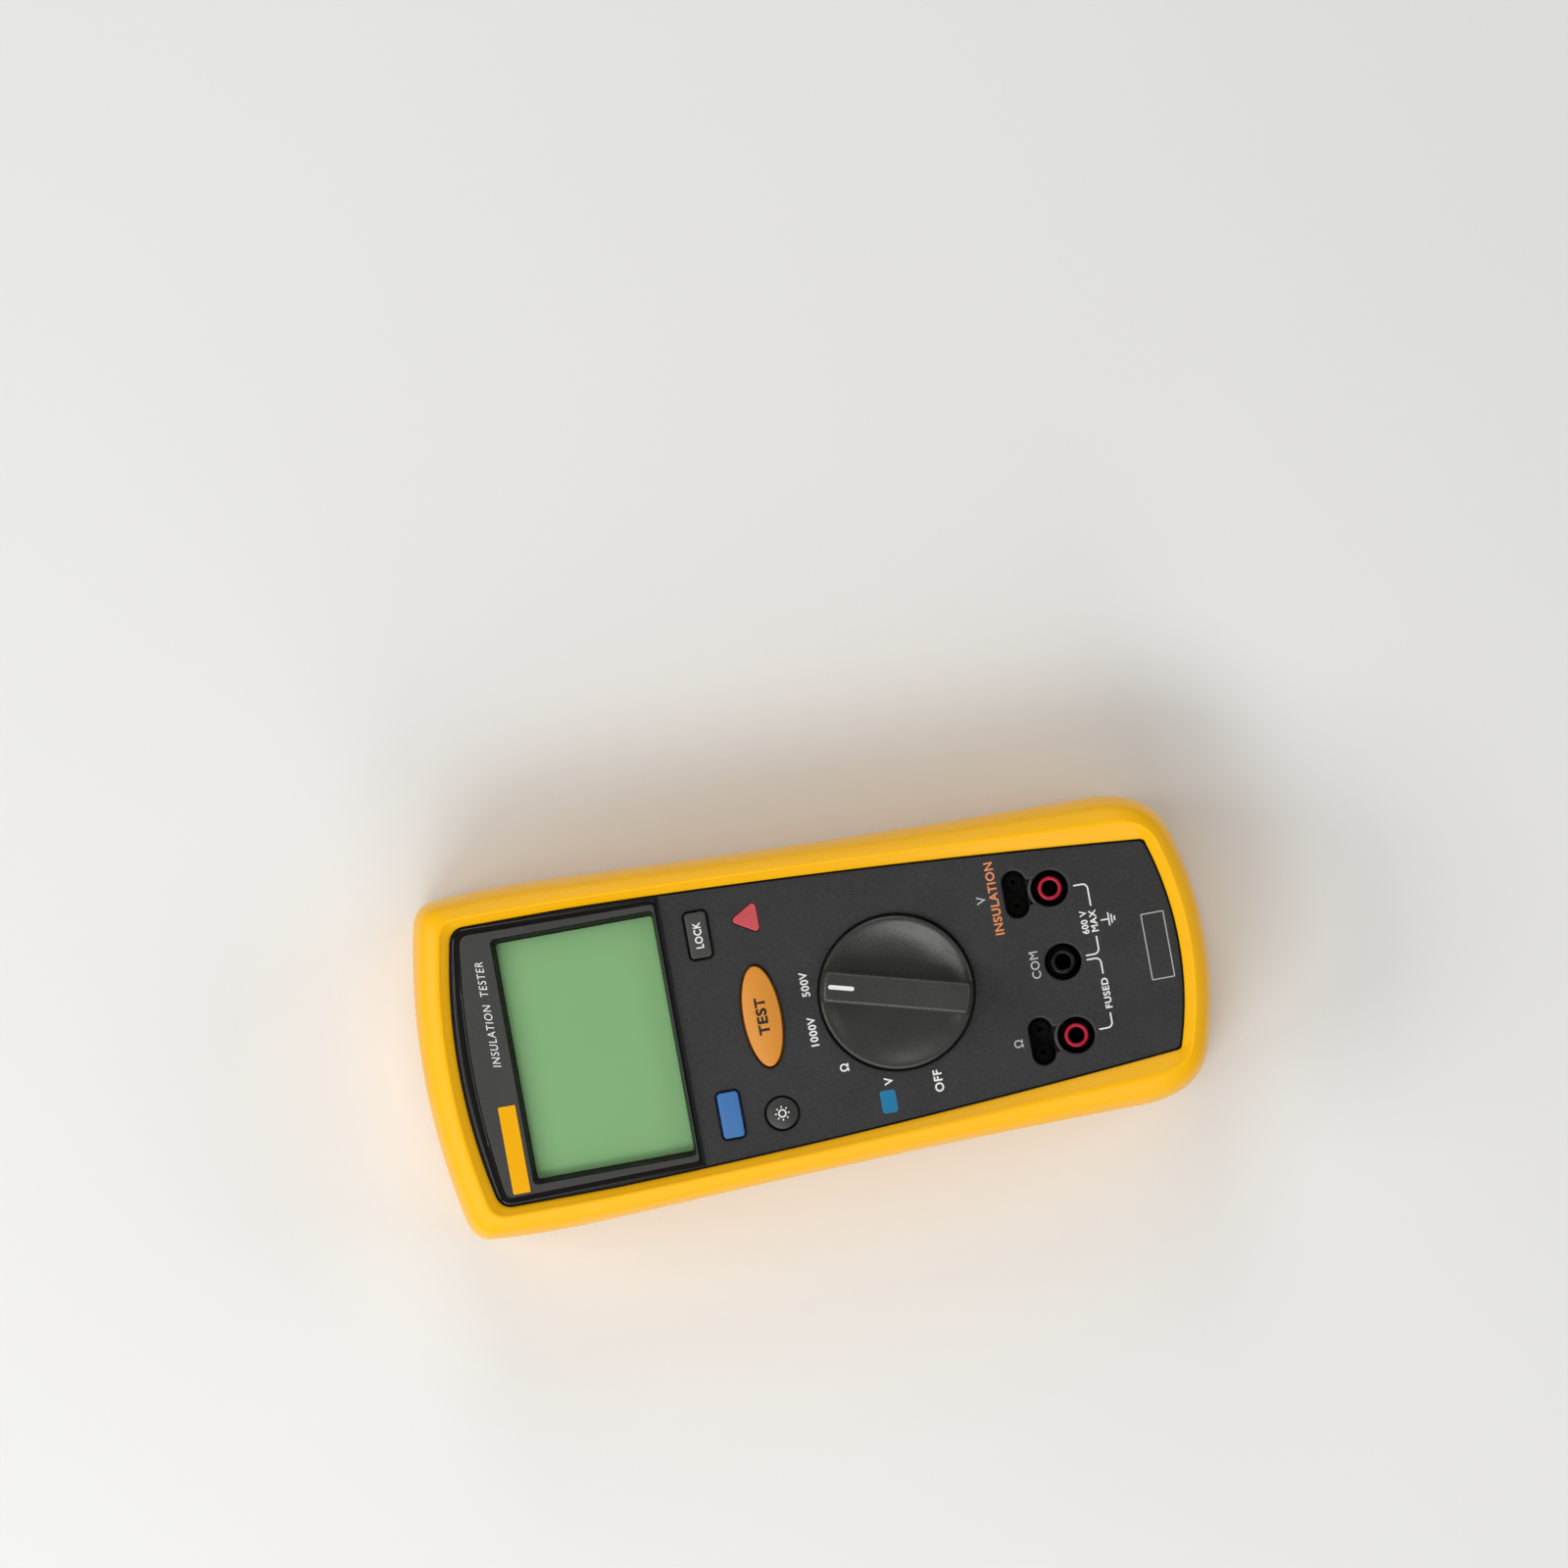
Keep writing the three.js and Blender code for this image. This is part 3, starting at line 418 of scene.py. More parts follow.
class Nodes:
    """Adds nodes to a new material and links them."""

    def __init__(self, name):
        self.material = bpy.data.materials.new(name)
        self.material.use_nodes = True
        self.tree = self.material.node_tree
        self.tree.nodes.clear()
        self.place = self.add("TexCoord").outputs["Object"]

    def add(self, kind, links=None, inputs=None, **values):
        node = self.tree.nodes.new("ShaderNode" + kind)
        for key, value in values.items():
            setattr(node, key, value)
        for key, value in (inputs or {}).items():
            node.inputs[key].default_value = value
        for key, source in (links or {}).items():
            self.tree.links.new(source, node.inputs[key])
        return node

    def noise(self, size_mm, detail, rough=0.5):
        inputs = {"Scale": 1 / (size_mm * MM), "Detail": detail, "Roughness": rough}
        return self.add("TexNoise", {"Vector": self.place}, inputs).outputs["Fac"]

    def ramp(self, value, low, high, to_low, to_high):
        inputs = {"From Min": low, "From Max": high, "To Min": to_low, "To Max": to_high}
        return self.add("MapRange", {"Value": value}, inputs).outputs["Result"]

    def blend(self, factor, first, second):
        """Mixes two colours, each of them a linear colour or another node's output."""
        node = self.add("Mix", {"Factor": factor}, data_type="RGBA")
        for socket, color in (("A", first), ("B", second)):
            if isinstance(color, tuple):
                node.inputs[socket].default_value = (*color, 1)
            else:
                self.tree.links.new(color, node.inputs[socket])
        return node.outputs["Result"]

    def shade(self, links, inputs):
        """The shader and the material's output."""
        shader = self.add("BsdfPrincipled", links, inputs)
        self.add("OutputMaterial", {"Surface": shader.outputs["BSDF"]})
        return shader


def surface(name, color, rough, grain=0.0, grain_mm=0.35, mottle=0.06, mottle_mm=12.0, rough_change=0.08,
            fleck=0.0, fleck_mm=0.3, metal=0.0, specular=0.5, painted_glow=0.0, painted_shade_below=None):
    """A moulded or metal surface: colour that drifts a little, fine grain in relief, and optional flecks.

    Its last argument gives two heights, between which the colour fades to near black going down: painted
    shade, as down a deep bore.
    """
    nodes = Nodes(name)
    drift = nodes.noise(mottle_mm, 4.0, 0.55)
    dark = tuple(c * (1 - mottle) for c in color)
    light = tuple(min(1.0, c * (1 + mottle) + 0.01 * mottle) for c in color)
    shade = nodes.blend(drift, dark, light)
    if fleck:
        spots = nodes.ramp(nodes.noise(fleck_mm, 2.0, 0.6), 0.45, 0.72, 0.0, fleck)
        shade = nodes.blend(spots, shade, tuple(min(1.0, c * 1.9 + 0.02) for c in color))
    # painted shade: the colour fades to near black lower down, where a deep bore is in shade
    if painted_shade_below:
        height = nodes.add("SeparateXYZ", {"Vector": nodes.place}).outputs["Z"]
        painted_shade_fade = nodes.ramp(height, painted_shade_below[0] * MM, painted_shade_below[1] * MM, 0.0, 1.0)
        shade = nodes.blend(painted_shade_fade, (0.004, 0.003, 0.002), shade)
    gloss = nodes.ramp(drift, 0.3, 0.7, max(0.02, rough - rough_change), min(1.0, rough + rough_change))
    shader = nodes.shade({"Base Color": shade, "Roughness": gloss},
                         {"Metallic": metal, "Specular IOR Level": specular})
    if grain:
        relief = nodes.add("Bump", {"Height": nodes.noise(grain_mm, 3.0, 0.6)},
                           {"Strength": grain, "Distance": grain_mm * MM * 0.5})
        nodes.tree.links.new(relief.outputs["Normal"], shader.inputs["Normal"])
    # painted light: emission that makes the colour glow
    if painted_glow:
        shader.inputs["Emission Color"].default_value = (*color, 1)
        shader.inputs["Emission Strength"].default_value = painted_glow
    return nodes.material


def clear(name, color, cover, rough=0.03):
    """A clear pane: cover is the share of it that isn't seen through."""
    nodes = Nodes(name)
    wear = nodes.ramp(nodes.noise(2.5, 3.0), 0.3, 0.7, rough, rough + 0.04)
    nodes.shade({"Roughness": wear}, {"Base Color": (*color, 1), "Alpha": cover, "Specular IOR Level": 0.8})
    return nodes.material


YELLOW = surface("holster_yellow", srgb(254, 186, 0), 0.4, 0.12, 0.5, 0.03, 30, specular=0.22)
FACE_GREY = surface("face_grey", srgb(38, 38, 39), 0.5, 0.5, 0.34, 0.08, 20,
                    fleck=0.45, fleck_mm=0.4, specular=0.42)
CASE_GREY = surface("case_grey", srgb(55, 55, 56), 0.58, 0.4, 0.3, 0.07, fleck=0.15)
RIM_BLACK = surface("rim_black", srgb(11, 9, 8), 0.14, mottle=0.1, rough_change=0.04, specular=0.4)
PLATE_GREY = surface("plate_grey", srgb(55, 55, 54), 0.5, 0.35, 0.3, 0.08, fleck=0.3, specular=0.4)
BADGE_YELLOW = surface("badge_yellow", srgb(240, 172, 0), 0.38, mottle=0.02, specular=0.25)
LCD_GREEN = surface("lcd_green", srgb(145, 198, 133), 0.5, mottle=0.01, mottle_mm=40)
KEY_BLUE = surface("key_blue", srgb(60, 112, 172), 0.5, 0.25, mottle=0.04)
KEY_GREY = surface("key_grey", srgb(60, 60, 58), 0.48, 0.2)
KEY_ROUND = surface("key_round_grey", srgb(50, 50, 49), 0.42, 0.15)
KEY_ORANGE = surface("key_orange", srgb(216, 140, 44), 0.45, 0.15, mottle=0.03)
KNOB_GREY = surface("knob_grey", srgb(53, 53, 51), 0.28, 0.35, 0.3, 0.08, fleck=0.25)
BLOCK_BLACK = surface("block_black", srgb(8, 6, 6), 0.4, 0.1, mottle=0.1, specular=0.18)
SLEEVE_RED = surface("sleeve_red", srgb(178, 18, 48), 0.3, mottle=0.05, specular=0.4)
SLEEVE_BLACK = surface("sleeve_black", srgb(12, 11, 11), 0.25, mottle=0.05, specular=0.4)
BRASS = surface("brass", srgb(202, 166, 88), 0.28, 0.1, 0.2, 0.12, metal=1.0)
# brass with painted shade: near black low down in the jacks' bores and the slots' sockets
SHADED_BORE_BRASS = surface("bore_brass_painted_shade", srgb(202, 166, 88), 0.3, mottle=0.12, metal=1.0, painted_shade_below=(30, 37.5))
STEEL = surface("steel", srgb(176, 178, 180), 0.32, 0.15, 0.15, 0.1, metal=1.0)
WHITE_INK = surface("white_ink", srgb(232, 232, 230), 0.6, mottle=0.02)
GREY_INK = surface("grey_ink", srgb(176, 176, 174), 0.6, mottle=0.02)
ORANGE_INK = surface("orange_ink", srgb(226, 138, 84), 0.6, mottle=0.02)
BLACK_INK = surface("black_ink", srgb(20, 16, 14), 0.5, mottle=0.02)
BLUE_INK = surface("blue_ink", srgb(0, 112, 158), 0.55, mottle=0.03)
# the red lens's faint glow is painted light: the lamp is not lit
LAMP_RED = surface("lamp_red", srgb(186, 76, 82), 0.3, mottle=0.12, mottle_mm=4, painted_glow=0.12)
WHITE_PLASTIC = surface("white_plastic", srgb(225, 225, 218), 0.5, mottle=0.03)
BOARD_GREEN = surface("board_green", srgb(28, 98, 54), 0.35, mottle=0.25, mottle_mm=1.5)
RUBBER_GREY = surface("rubber_grey", srgb(88, 88, 90), 0.8, mottle=0.05)
FERRITE = surface("ferrite", srgb(46, 46, 48), 0.75, mottle=0.15, mottle_mm=1)
COPPER = surface("copper", srgb(178, 106, 60), 0.35, mottle=0.1, mottle_mm=0.4, metal=1.0)
FILM_BLUE = surface("film_blue", srgb(44, 92, 158), 0.35)
CELL_JACKET = surface("cell_jacket", srgb(44, 47, 54), 0.3, mottle=0.04)
CELL_BAND = surface("cell_band", srgb(196, 132, 60), 0.28, mottle=0.04, metal=0.6)
WINDOW_CLEAR = clear("window_clear", (0.03, 0.045, 0.035), 0.08)
FUSE_CLEAR = clear("fuse_clear", (0.6, 0.66, 0.64), 0.25)


# ---------- camera, light and floor, with lengths in metres ----------

def make_camera():
    """Looks straight down with a long lens; the tester lies turned in the frame, below its middle."""
    turn = math.radians(10.35)
    right = Vector((-math.sin(turn), -math.cos(turn), 0))
    up = Vector((math.cos(turn), -math.sin(turn), 0))
    frame_width = 0.4
    distance = 4.0
    data = bpy.data.cameras.new("camera")
    data.sensor_width = 36
    data.lens = data.sensor_width * distance / frame_width
    data.clip_end = 50
    camera = add_object("camera", data)
    aim = Vector((57.4, -2.6, FACE_Z)) * MM
    rotation = Matrix((right, up, Vector((0, 0, 1)))).transposed()
    camera.matrix_world = Matrix.Translation(aim + Vector((0, 0, distance))) @ rotation.to_4x4()
    bpy.context.scene.camera = camera


def area_light(name, place, size, power):
    """A soft light that faces the tester."""
    data = bpy.data.lights.new(name, "AREA")
    data.shape = "RECTANGLE"
    data.size, data.size_y = size
    data.energy = power
    tester = Vector((0, 0, 0.03))
    turn = (tester - Vector(place)).to_track_quat("-Z", "Y").to_matrix().to_4x4()
    add_object(name, data).matrix_world = Matrix.Translation(place) @ turn


def make_studio():
    world = bpy.data.worlds.new("studio")
    world.use_nodes = True
    background = world.node_tree.nodes["Background"]
    background.inputs["Color"].default_value = (1, 1, 1, 1)
    background.inputs["Strength"].default_value = 0.25
    bpy.context.scene.world = world
    bpy.context.scene.view_settings.view_transform = "Standard"
    # the light is strongest from the display end and the left
    area_light("key", (-0.75, 0.55, 1.1), (0.7, 0.5), 7.2)
    area_light("head", (0, 1.1, 0.8), (0.9, 0.5), 6.4)
    area_light("left", (-1.1, 0, 0.75), (0.5, 0.9), 4.2)
    area_light("right", (1.1, 0, 0.75), (0.5, 0.9), 4.0)
    area_light("tail", (0, -1.1, 0.75), (0.9, 0.5), 2.6)
    mesh = bpy.data.meshes.new("floor")
    half = 3.0
    corners = [(-half, -half, 0), (half, -half, 0), (half, half, 0), (-half, half, 0)]
    mesh.from_pydata(corners, [], [(0, 1, 2, 3)])
    mesh.materials.append(surface("floor_pale", (0.8, 0.8, 0.79), 0.7, mottle=0.01, mottle_mm=200))
    add_object("floor", mesh)


make_camera()
make_studio()


# ---------- holster ----------

# the case's outer and inner sides, drawn in from the holster's outline
SHELL_INSET = 3.3
CAVITY_INSET = 5.5
# the case's straight side ends at SIDE_TOP; at BEVEL_Z it has leant in by BEVEL_SHARE
SIDE_TOP = 35
BEVEL_Z = 40
BEVEL_SHARE = 0.3


def case_outline(share, grow=GAP):
    """The case's outline: share 0 is its side, and 1 its front edge."""
    return mix(body_outline(OUTER, SHELL_INSET - grow), body_outline(CREST, -grow), share)


def case_back_outline(share, grow=GAP):
    return mix(body_outline(OUTER, SHELL_INSET - grow), body_outline(BACK_OPENING, -grow), share)


def passing(first, second, controls, steps):
    """Rings that pass from one outline to another; the controls are (height, share) pairs."""
    return [(z, mix(first, second, share)) for z, share in bezier(controls, steps)]


def make_holster():
    outer, crest, opening = body_outline(OUTER), body_outline(CREST), body_outline(OPENING)
    # the back rim, then the back's rounded edge
    rings = passing(outer, body_outline(BACK_OPENING), [(0, 0.42), (0, 0.1), (1.6, 0), (9, 0)], 12)
    rings += [(16, outer), (23, outer)]
    # the side rolls in to a shoulder, and the band slopes up to the crest
    shoulder = (44.35, 0.46)
    rings += passing(outer, crest, [(26, 0), (37, 0), (42.6, 0.16), shoulder], 18)
    slope = [shoulder, (44.75, 0.54), (45.6, 0.78), (45.86, 0.9), (CREST_Z, 0.97)]
    rings += passing(outer, crest, slope, 8)[1:]
    # over the crest and down the inner bevel to the lip
    bevel = (45.5, 0.3)
    rings += passing(crest, opening, [(CREST_Z, 0.02), (CREST_Z, 0.16), bevel], 5)
    rings += passing(crest, opening, [bevel, (44.1, 0.93), (43.75, 1), (43.4, 1)], 8)[1:]
    rings.append((FACE_Z + GAP, mix(crest, opening, 0.94)))
    # inside, round the case
    rings += [(FACE_Z + GAP, case_outline(1)), (BEVEL_Z, case_outline(BEVEL_SHARE)),
              (SIDE_TOP, case_outline(0)), (8, case_outline(0)), (4, case_back_outline(0.34)),
              (BACK_Z - GAP, case_back_outline(0.75))]
    rings += roll(growing_body(BACK_OPENING), BACK_Z - GAP, 0.4, 1)
    rings += reversed(roll(growing_body(BACK_OPENING), 0, 0.5, 1, up=-1))
    piece("holster_boot", Shell().wall(rings, looped=True), YELLOW, "holster_rubber", "holster", degrees=50)


make_holster()


# ---------- keys and lamp: where they are ----------

KEYS = {
    "function_button": dict(center=(-23.2, 25.9), size=(11.7, 5.4), corner=0.9, crown=0.16,
                            look=(KEY_BLUE, "button_blue"), body="function_key"),
    "lock_button": dict(center=(23.4, 25.9), size=(11.7, 5.4), corner=0.9, crown=0.16,
                        look=(KEY_GREY, "button_grey"), body="lock_key"),
    "backlight_button": dict(center=(-25.15, 12.9), size=(8.0, 8.0), corner=4.0, crown=0.5,
                             look=(KEY_ROUND, "button_grey"), body="backlight_key"),
    "test_button": dict(center=(0.1, 13.5), size=(25.9, 9.5), corner=None, crown=0.75,
                        look=(KEY_ORANGE, "button_orange"), body="test_key"),
}
KEY_FLANGE = 1.0
KEY_WALL = 0.8
LAMP = (25.4, 12.6)
LAMP_SIDE = 6.8


def key_outline(key, grow=0.0, share=1.0):
    """A key's outline, moved out by grow and then shrunk to a share of its size."""
    width, height = (size + 2 * grow for size in key["size"])
    if key["corner"] is None:
        points = ellipse(width / 2, height / 2)
    elif key["corner"] * 2 >= key["size"][1]:
        points = circle(width / 2, steps=64)
    else:
        points = rounded_rect(width, height, key["corner"] + grow)
    return moved([(x * share, y * share) for x, y in points], *key["center"])


def lamp_outline(grow=0.0):
    corner = 0.9
    reach = LAMP_SIDE / math.sqrt(3) - corner
    points = []
    for degrees in (90, 210, 330):
        cx, cy = turned([(reach, 0)], degrees)[0]
        points += arc(cx, cy, corner + grow, degrees - 60, degrees + 60, 8)
    return moved(points, *LAMP)


# ---------- front case ----------

FACE_HOLE = 0.45
EDGE_ROLL = 0.4


def make_front_case():
    shell = Shell()
    upper, under = [], []

    def cut(outline, radius):
        top, low = shell.bore(outline, FACE_Z, radius, FACE_UNDER)
        upper.append(top)
        under.append(low)

    for key in KEYS.values():
        cut(lambda grow, key=key: key_outline(key, FACE_HOLE + grow), EDGE_ROLL)
    cut(lambda grow: lamp_outline(GAP + grow), 0.2)
    for index in (-1, 0, 1):
        cut(lambda grow, index=index: jack_opening(index, grow), 0.6)
    # the window's opening, and a narrow groove under the display's frame that up=2 makes twice as deep
    window = rounded_rect(WINDOW.width + 0.8, WINDOW.length + 0.8, 1, 0, WINDOW.y)
    shell.wall([(FACE_Z, window), (FACE_UNDER, window)])
    groove = growing_rect(69.6, 0.7, 0.3, 0, 34.75)
    upper += [window, shell.dent(groove, FACE_Z, 0.12, 0.4, up=2, taper=0)]
    under.append(window)

    # the knob's recess, its floor, bore and tray
    floor_z, tray_z = 41.1, 38.9
    wall, bore, tray = (growing_circle(radius, KNOB.x, KNOB.y, 120)
                        for radius in (KNOB_RADIUS + 0.4, 6.1, KNOB_RADIUS + 2.6))
    rim = roll(wall, FACE_Z, 0.5, 1)
    shell.wall([*rim, (floor_z, wall()), (floor_z, bore()), (tray_z, bore()), (tray_z, tray()),
                (FACE_UNDER, tray())])
    upper.append(rim[0][1])
    under.append(tray())

    # the face's edge drops into a narrow moat beside the holster's lip
    face_edge = growing_body(OPENING, 0.42)
    edge = roll(face_edge, FACE_Z, 0.22, -1)
    moat_z = FACE_Z - 0.9
    cavity = body_outline(OUTER, CAVITY_INSET)
    under_edge = mix(cavity, body_outline(CREST, 1.6), 0.9)
    low = REAR.top + GAP
    side = case_outline(0, 0)
    shell.wall([*edge, (moat_z, face_edge()), (moat_z, body_outline(CREST, 0.6)),
                (FACE_Z - 0.3, body_outline(CREST, 0.2)), (BEVEL_Z, case_outline(BEVEL_SHARE, 0)),
                (SIDE_TOP, side), (low, side), (low, cavity), (SIDE_TOP + 1, cavity),
                (FACE_UNDER, under_edge)])
    shell.fill(FACE_Z, edge[0][1], upper).fill(FACE_UNDER, under_edge, under)
    piece("front_cover", shell, FACE_GREY, "case_plastic", "front_case")


make_front_case()


# ---------- display ----------

RIM = dict(base_y=35.2, base_half=34.7, head_half=35.8, corner=3.6, head_y=91.5, radius=155)
PLATE = dict(base_y=35.75, base_half=33.25, head_half=33.95, corner=2.4, head_y=88.4, radius=227)


def bezel_outline(spec, grow=0.0):
    """A straight base with small corners, leaning sides, and a domed head with large ones."""
    base_y = spec["base_y"] - grow
    base_half, head_half, corner, head_y, radius = (
        spec[name] + grow for name in ("base_half", "head_half", "corner", "head_y", "radius"))
    angle = math.degrees(math.asin((head_half - corner) / radius))
    dome = arc(0, head_y - radius, radius, 90 - angle, 90, 16)
    foot = 0.9
    base_end, side_start = (base_half - foot, base_y), (base_half + 0.02, base_y + foot)
    side_end = (head_half, dome[0][1] - corner)
    return mirrored(chain(
        bezier([(0, base_y), base_end], 6),
        bezier([base_end, (base_half, base_y), side_start], 5),
        bezier([side_start, side_end], 12),
        bezier([side_end, (head_half, dome[0][1] - corner * 0.14), dome[0]], 10),
        dome,
    ))


def make_display():
    rim_line, plate_line = bezel_outline(RIM), bezel_outline(PLATE)
    low = FACE_Z + 0.05
    plate_low = PLATE_Z - 0.5
    rim_top = PLATE_Z - 0.35
    sill = rounded_rect(60.8, 40.5, 0.8, 0, 56.95)
    mouth = growing_rect(63.6, 42.4, 1.3, 0, 57.3)
    # the glossy frame: a rounded outer edge, a flat channel, and a short steep rise to the plate
    profile = [(0.05, 0.0), (0.6, 0.0), (0.85, 0.03), (1.02, 0.09), (1.08, 0.16), (1.02, 0.23), (0.9, 0.28),
               (0.86, 0.34), (0.88, 0.76), (0.98, 0.82), (1.25, 0.87), (rim_top - FACE_Z, 0.92)]
    rings = [(FACE_Z + height, mix(rim_line, plate_line, share)) for height, share in profile]
    well = [(low, sill), (FACE_Z + 0.35, sill), (FACE_Z + 0.75, mix(sill, mouth(), 0.3)),
            (rim_top, mix(sill, mouth(), 0.86))]
    shell = Shell().wall(rings).wall(well).fill(*rings[0], [sill]).fill(*rings[-1], [well[-1][1]])
    piece("bezel_frame", shell, RIM_BLACK, "bezel_plastic", "display_bezel", degrees=30)

    # the textured plate let into the glossy frame
    edge = roll(lambda grow: bezel_outline(PLATE, grow), PLATE_Z, 0.18, -1)
    flat = Shell().wall([*edge, (plate_low, plate_line)])
    hole = flat.bore(mouth, PLATE_Z, 0.18, plate_low)[0]
    flat.fill(PLATE_Z, edge[0][1], [hole]).fill(plate_low, plate_line, [mouth()])
    piece("bezel_plate", flat, PLATE_GREY, "bezel_plastic")

    edge = roll(growing_rect(22.6, 4.5, 0.35, -22.0, 81.8, 4), PLATE_Z + 0.3, 0.1, -1, steps=2)
    badge = Shell().stack([*edge, (PLATE_Z + 0.02, edge[-1][1])])
    piece("blank_badge", badge, BADGE_YELLOW, "badge_film", "name_badge")

    lens = slab(rounded_rect(WINDOW.width, WINDOW.length, 0.8, 0, WINDOW.y), WINDOW.bottom, WINDOW.top)
    piece("window_lens", lens, WINDOW_CLEAR, "clear_window", "display_window")


make_display()


# ---------- keys and lamp ----------

def make_key(node, key):
    box = Box(node)
    edge = 0.3 if key["corner"] else 0.45

    def outline(grow):
        return key_outline(key, grow)

    # the top swells from the shoulder to a low crown
    shoulder = box.top - key["crown"]
    rings = [(shoulder + key["crown"] * (1 - share ** 2), key_outline(key, -edge, share))
             for share in (0.12, 0.3, 0.45, 0.6, 0.72, 0.84, 0.93)]
    rings += roll(outline, shoulder, edge, -1)
    wall_z = 38.9
    rings += [(FLANGE_Z, outline(0)), (FLANGE_Z, outline(KEY_FLANGE)), (wall_z, outline(KEY_FLANGE)),
              (wall_z, outline(-KEY_WALL)), (box.bottom, outline(-KEY_WALL))]
    name = node.replace("_button", "_key")
    piece(name, Shell().stack(rings), *key["look"], node, key["body"], 45)


def make_lamp():
    low = 38.6
    rings = [*roll(lamp_outline, FACE_Z + 0.18, 0.2, -1), (FLANGE_Z, lamp_outline()),
             (FLANGE_Z, lamp_outline(KEY_FLANGE)), (low, lamp_outline(KEY_FLANGE))]
    piece("lamp_lens", Shell().stack(rings), LAMP_RED, "lamp_red", "warning_lens")


for key_node, key_data in KEYS.items():
    make_key(key_node, key_data)
make_lamp()


# ---------- rotary knob ----------

def bar_outline(half_width, reach, corner):
    """The grip bar's outline: straight sides, and ends that follow the knob's edge."""
    inner = reach - corner
    side = half_width - corner
    end_angle = math.degrees(math.asin(side / inner))
    end = arc(0, 0, reach, 90 - end_angle, 90 + end_angle, 10)
    right_corner = arc(side, math.sqrt(inner ** 2 - side ** 2), corner, 0, 90 - end_angle, 5)
    left_corner = [(-x, y) for x, y in reversed(right_corner)]
    half = chain(right_corner, end, left_corner)
    return half + [(-x, -y) for x, y in half]


def make_knob():
    under, dish_floor, shoulder, rim_top = 41.4, 42.5, 44.2, 44.95
    # the disc: its outer wall, its rounded edge, and the dish inside it
    disc = [(0, under), (19.2, under), (19.55, 41.75), (KNOB_RADIUS, 42.1), (KNOB_RADIUS, shoulder)]
    disc += arc(KNOB_RADIUS - 0.7, shoulder, 0.7, 0, 90, 6, rim_top - shoulder)[1:]
    disc += bezier([(18.9, rim_top), (17.6, rim_top), (16.4, 43.9), (14.2, 42.9), (10, dish_floor),
                    (4, dish_floor)], 22)[1:]
    knob = mesh_object("knob_body", lathe([*disc, (0, dish_floor)], steps=144), 60)
    bar_top = KNOB.top - 0.04
    rings = [(42.0, bar_outline(4.9, 19.35, 0.7)), (44.4, bar_outline(4.55, 19.35, 0.7)),
             (47.5, bar_outline(4.2, 19.2, 0.7)), (48.8, bar_outline(4.05, 19.0, 0.7))]
    rings += roll(lambda grow: bar_outline(4.0 + grow, 18.8 + grow, max(0.2, 0.7 + grow / 2)),
                  bar_top, 0.95, -1, steps=8)[::-1]
    combine(knob, mesh_object("grip_bar", Shell().stack(rings), 30), "UNION", 30)
    combine(knob, mesh_object("shaft", slab(circle(5.7), KNOB.bottom, 41.9), 30), "UNION", 30)
    turn = Matrix.Rotation(math.radians(KNOB_TURN), 4, "Z")
    knob.data.transform(Matrix.Translation(Vector((KNOB.x, KNOB.y, 0)) * MM) @ turn)
    weighted_piece(knob, KNOB_GREY, "knob_plastic", "rotary_knob", "knob")
    # the pointer line on the bar's top, at its display end
    line = moved(turned(rounded_rect(1.1, 6.6, 0.5, 0, 14.2, 4), KNOB_TURN), KNOB.x, KNOB.y)
    piece("pointer_line", slab(line, bar_top - 0.2, KNOB.top), WHITE_INK, "white_plastic", body="knob")


make_knob()


# ---------- jacks ----------

# the jacks with a remote probe's socket: -1 is the left side, and 1 the right
SIDES = {"ohms": -1, "volts": 1}


def pin_rings(profile, x, y):
    """Rings round a remote probe's pin, from (height, radius) pairs."""
    return [(z, circle(radius, x, y, 32)) for z, radius in profile]


def make_terminal_block():
    low, high = BLOCK.bottom, BLOCK.top
    side = rounded_rect(BLOCK.width, BLOCK.length, 0.8, 0, BLOCK.y)
    shell = Shell().wall([(low, side), (high, side)])
    upper, under = [], []
    well_floor, well_hole = 18, 1.6
    for index in (-1, 0, 1):
        x = index * JACK_PITCH
        rim, wall = shell.bore(growing_circle(JACK_BORE, x, JACK_Y), high, 0.35, well_floor)
        hole = circle(well_hole, x, JACK_Y)
        shell.wall([(well_floor, wall), (well_floor, hole), (low, hole)])
        upper.append(rim)
        under.append(hole)
    floor = 35
    for index in SIDES.values():
        x, y = index * JACK_PITCH, JACK_Y + SLOT_DY
        slot = growing_rect(2 * SLOT_HALF_WIDTH, 2 * SLOT_HALF_HEIGHT, SLOT_HALF_HEIGHT - 0.01, x, y)
        rim, wall = shell.bore(slot, high, 0.3, floor)
        upper.append(rim)
        collars = []
        for pin_x in (x - PIN_PITCH / 2, x + PIN_PITCH / 2):
            # a low collar stands round each pin's hole, and the pin's contact is hidden under it
            profile = [(floor, 2.3), (floor + 0.9, 2.3), (floor + 1.0, 2.2), (floor + 1.0, 1.15),
                       (floor + 0.8, 0.95), (floor - 0.4, 0.95), (floor - 0.4, 1.7), (low, 1.7)]
            rings = pin_rings(profile, pin_x, y)
            shell.wall(rings)
            collars.append(rings[0][1])
            under.append(rings[-1][1])
        shell.fill(floor, wall, collars)
    shell.fill(high, side, upper).fill(low, side, under)
    piece("jack_block", shell, BLOCK_BLACK, "black_plastic", "terminal_block")


def make_neck_ridge(name, index):
    """A raised ridge that stands in the neck, above a slotted well. Its grey, lighter than the face's, is a
    painted highlight on top of the real one its raised shape catches.
    """
    line = arc(0, 0, 5.25, 51, 129, 24)
    rings = [(BLOCK.top + height, moved(band(line, width), index * JACK_PITCH, JACK_Y))
             for height, width in ((-0.3, 0.9), (1.9, 0.85), (2.2, 0.65), (2.3, 0.35))]
    # the lighter plate grey paints a highlight on the ridge
    piece(f"neck_ridge_{name}", Shell().stack(rings), PLATE_GREY, "case_plastic", degrees=40)


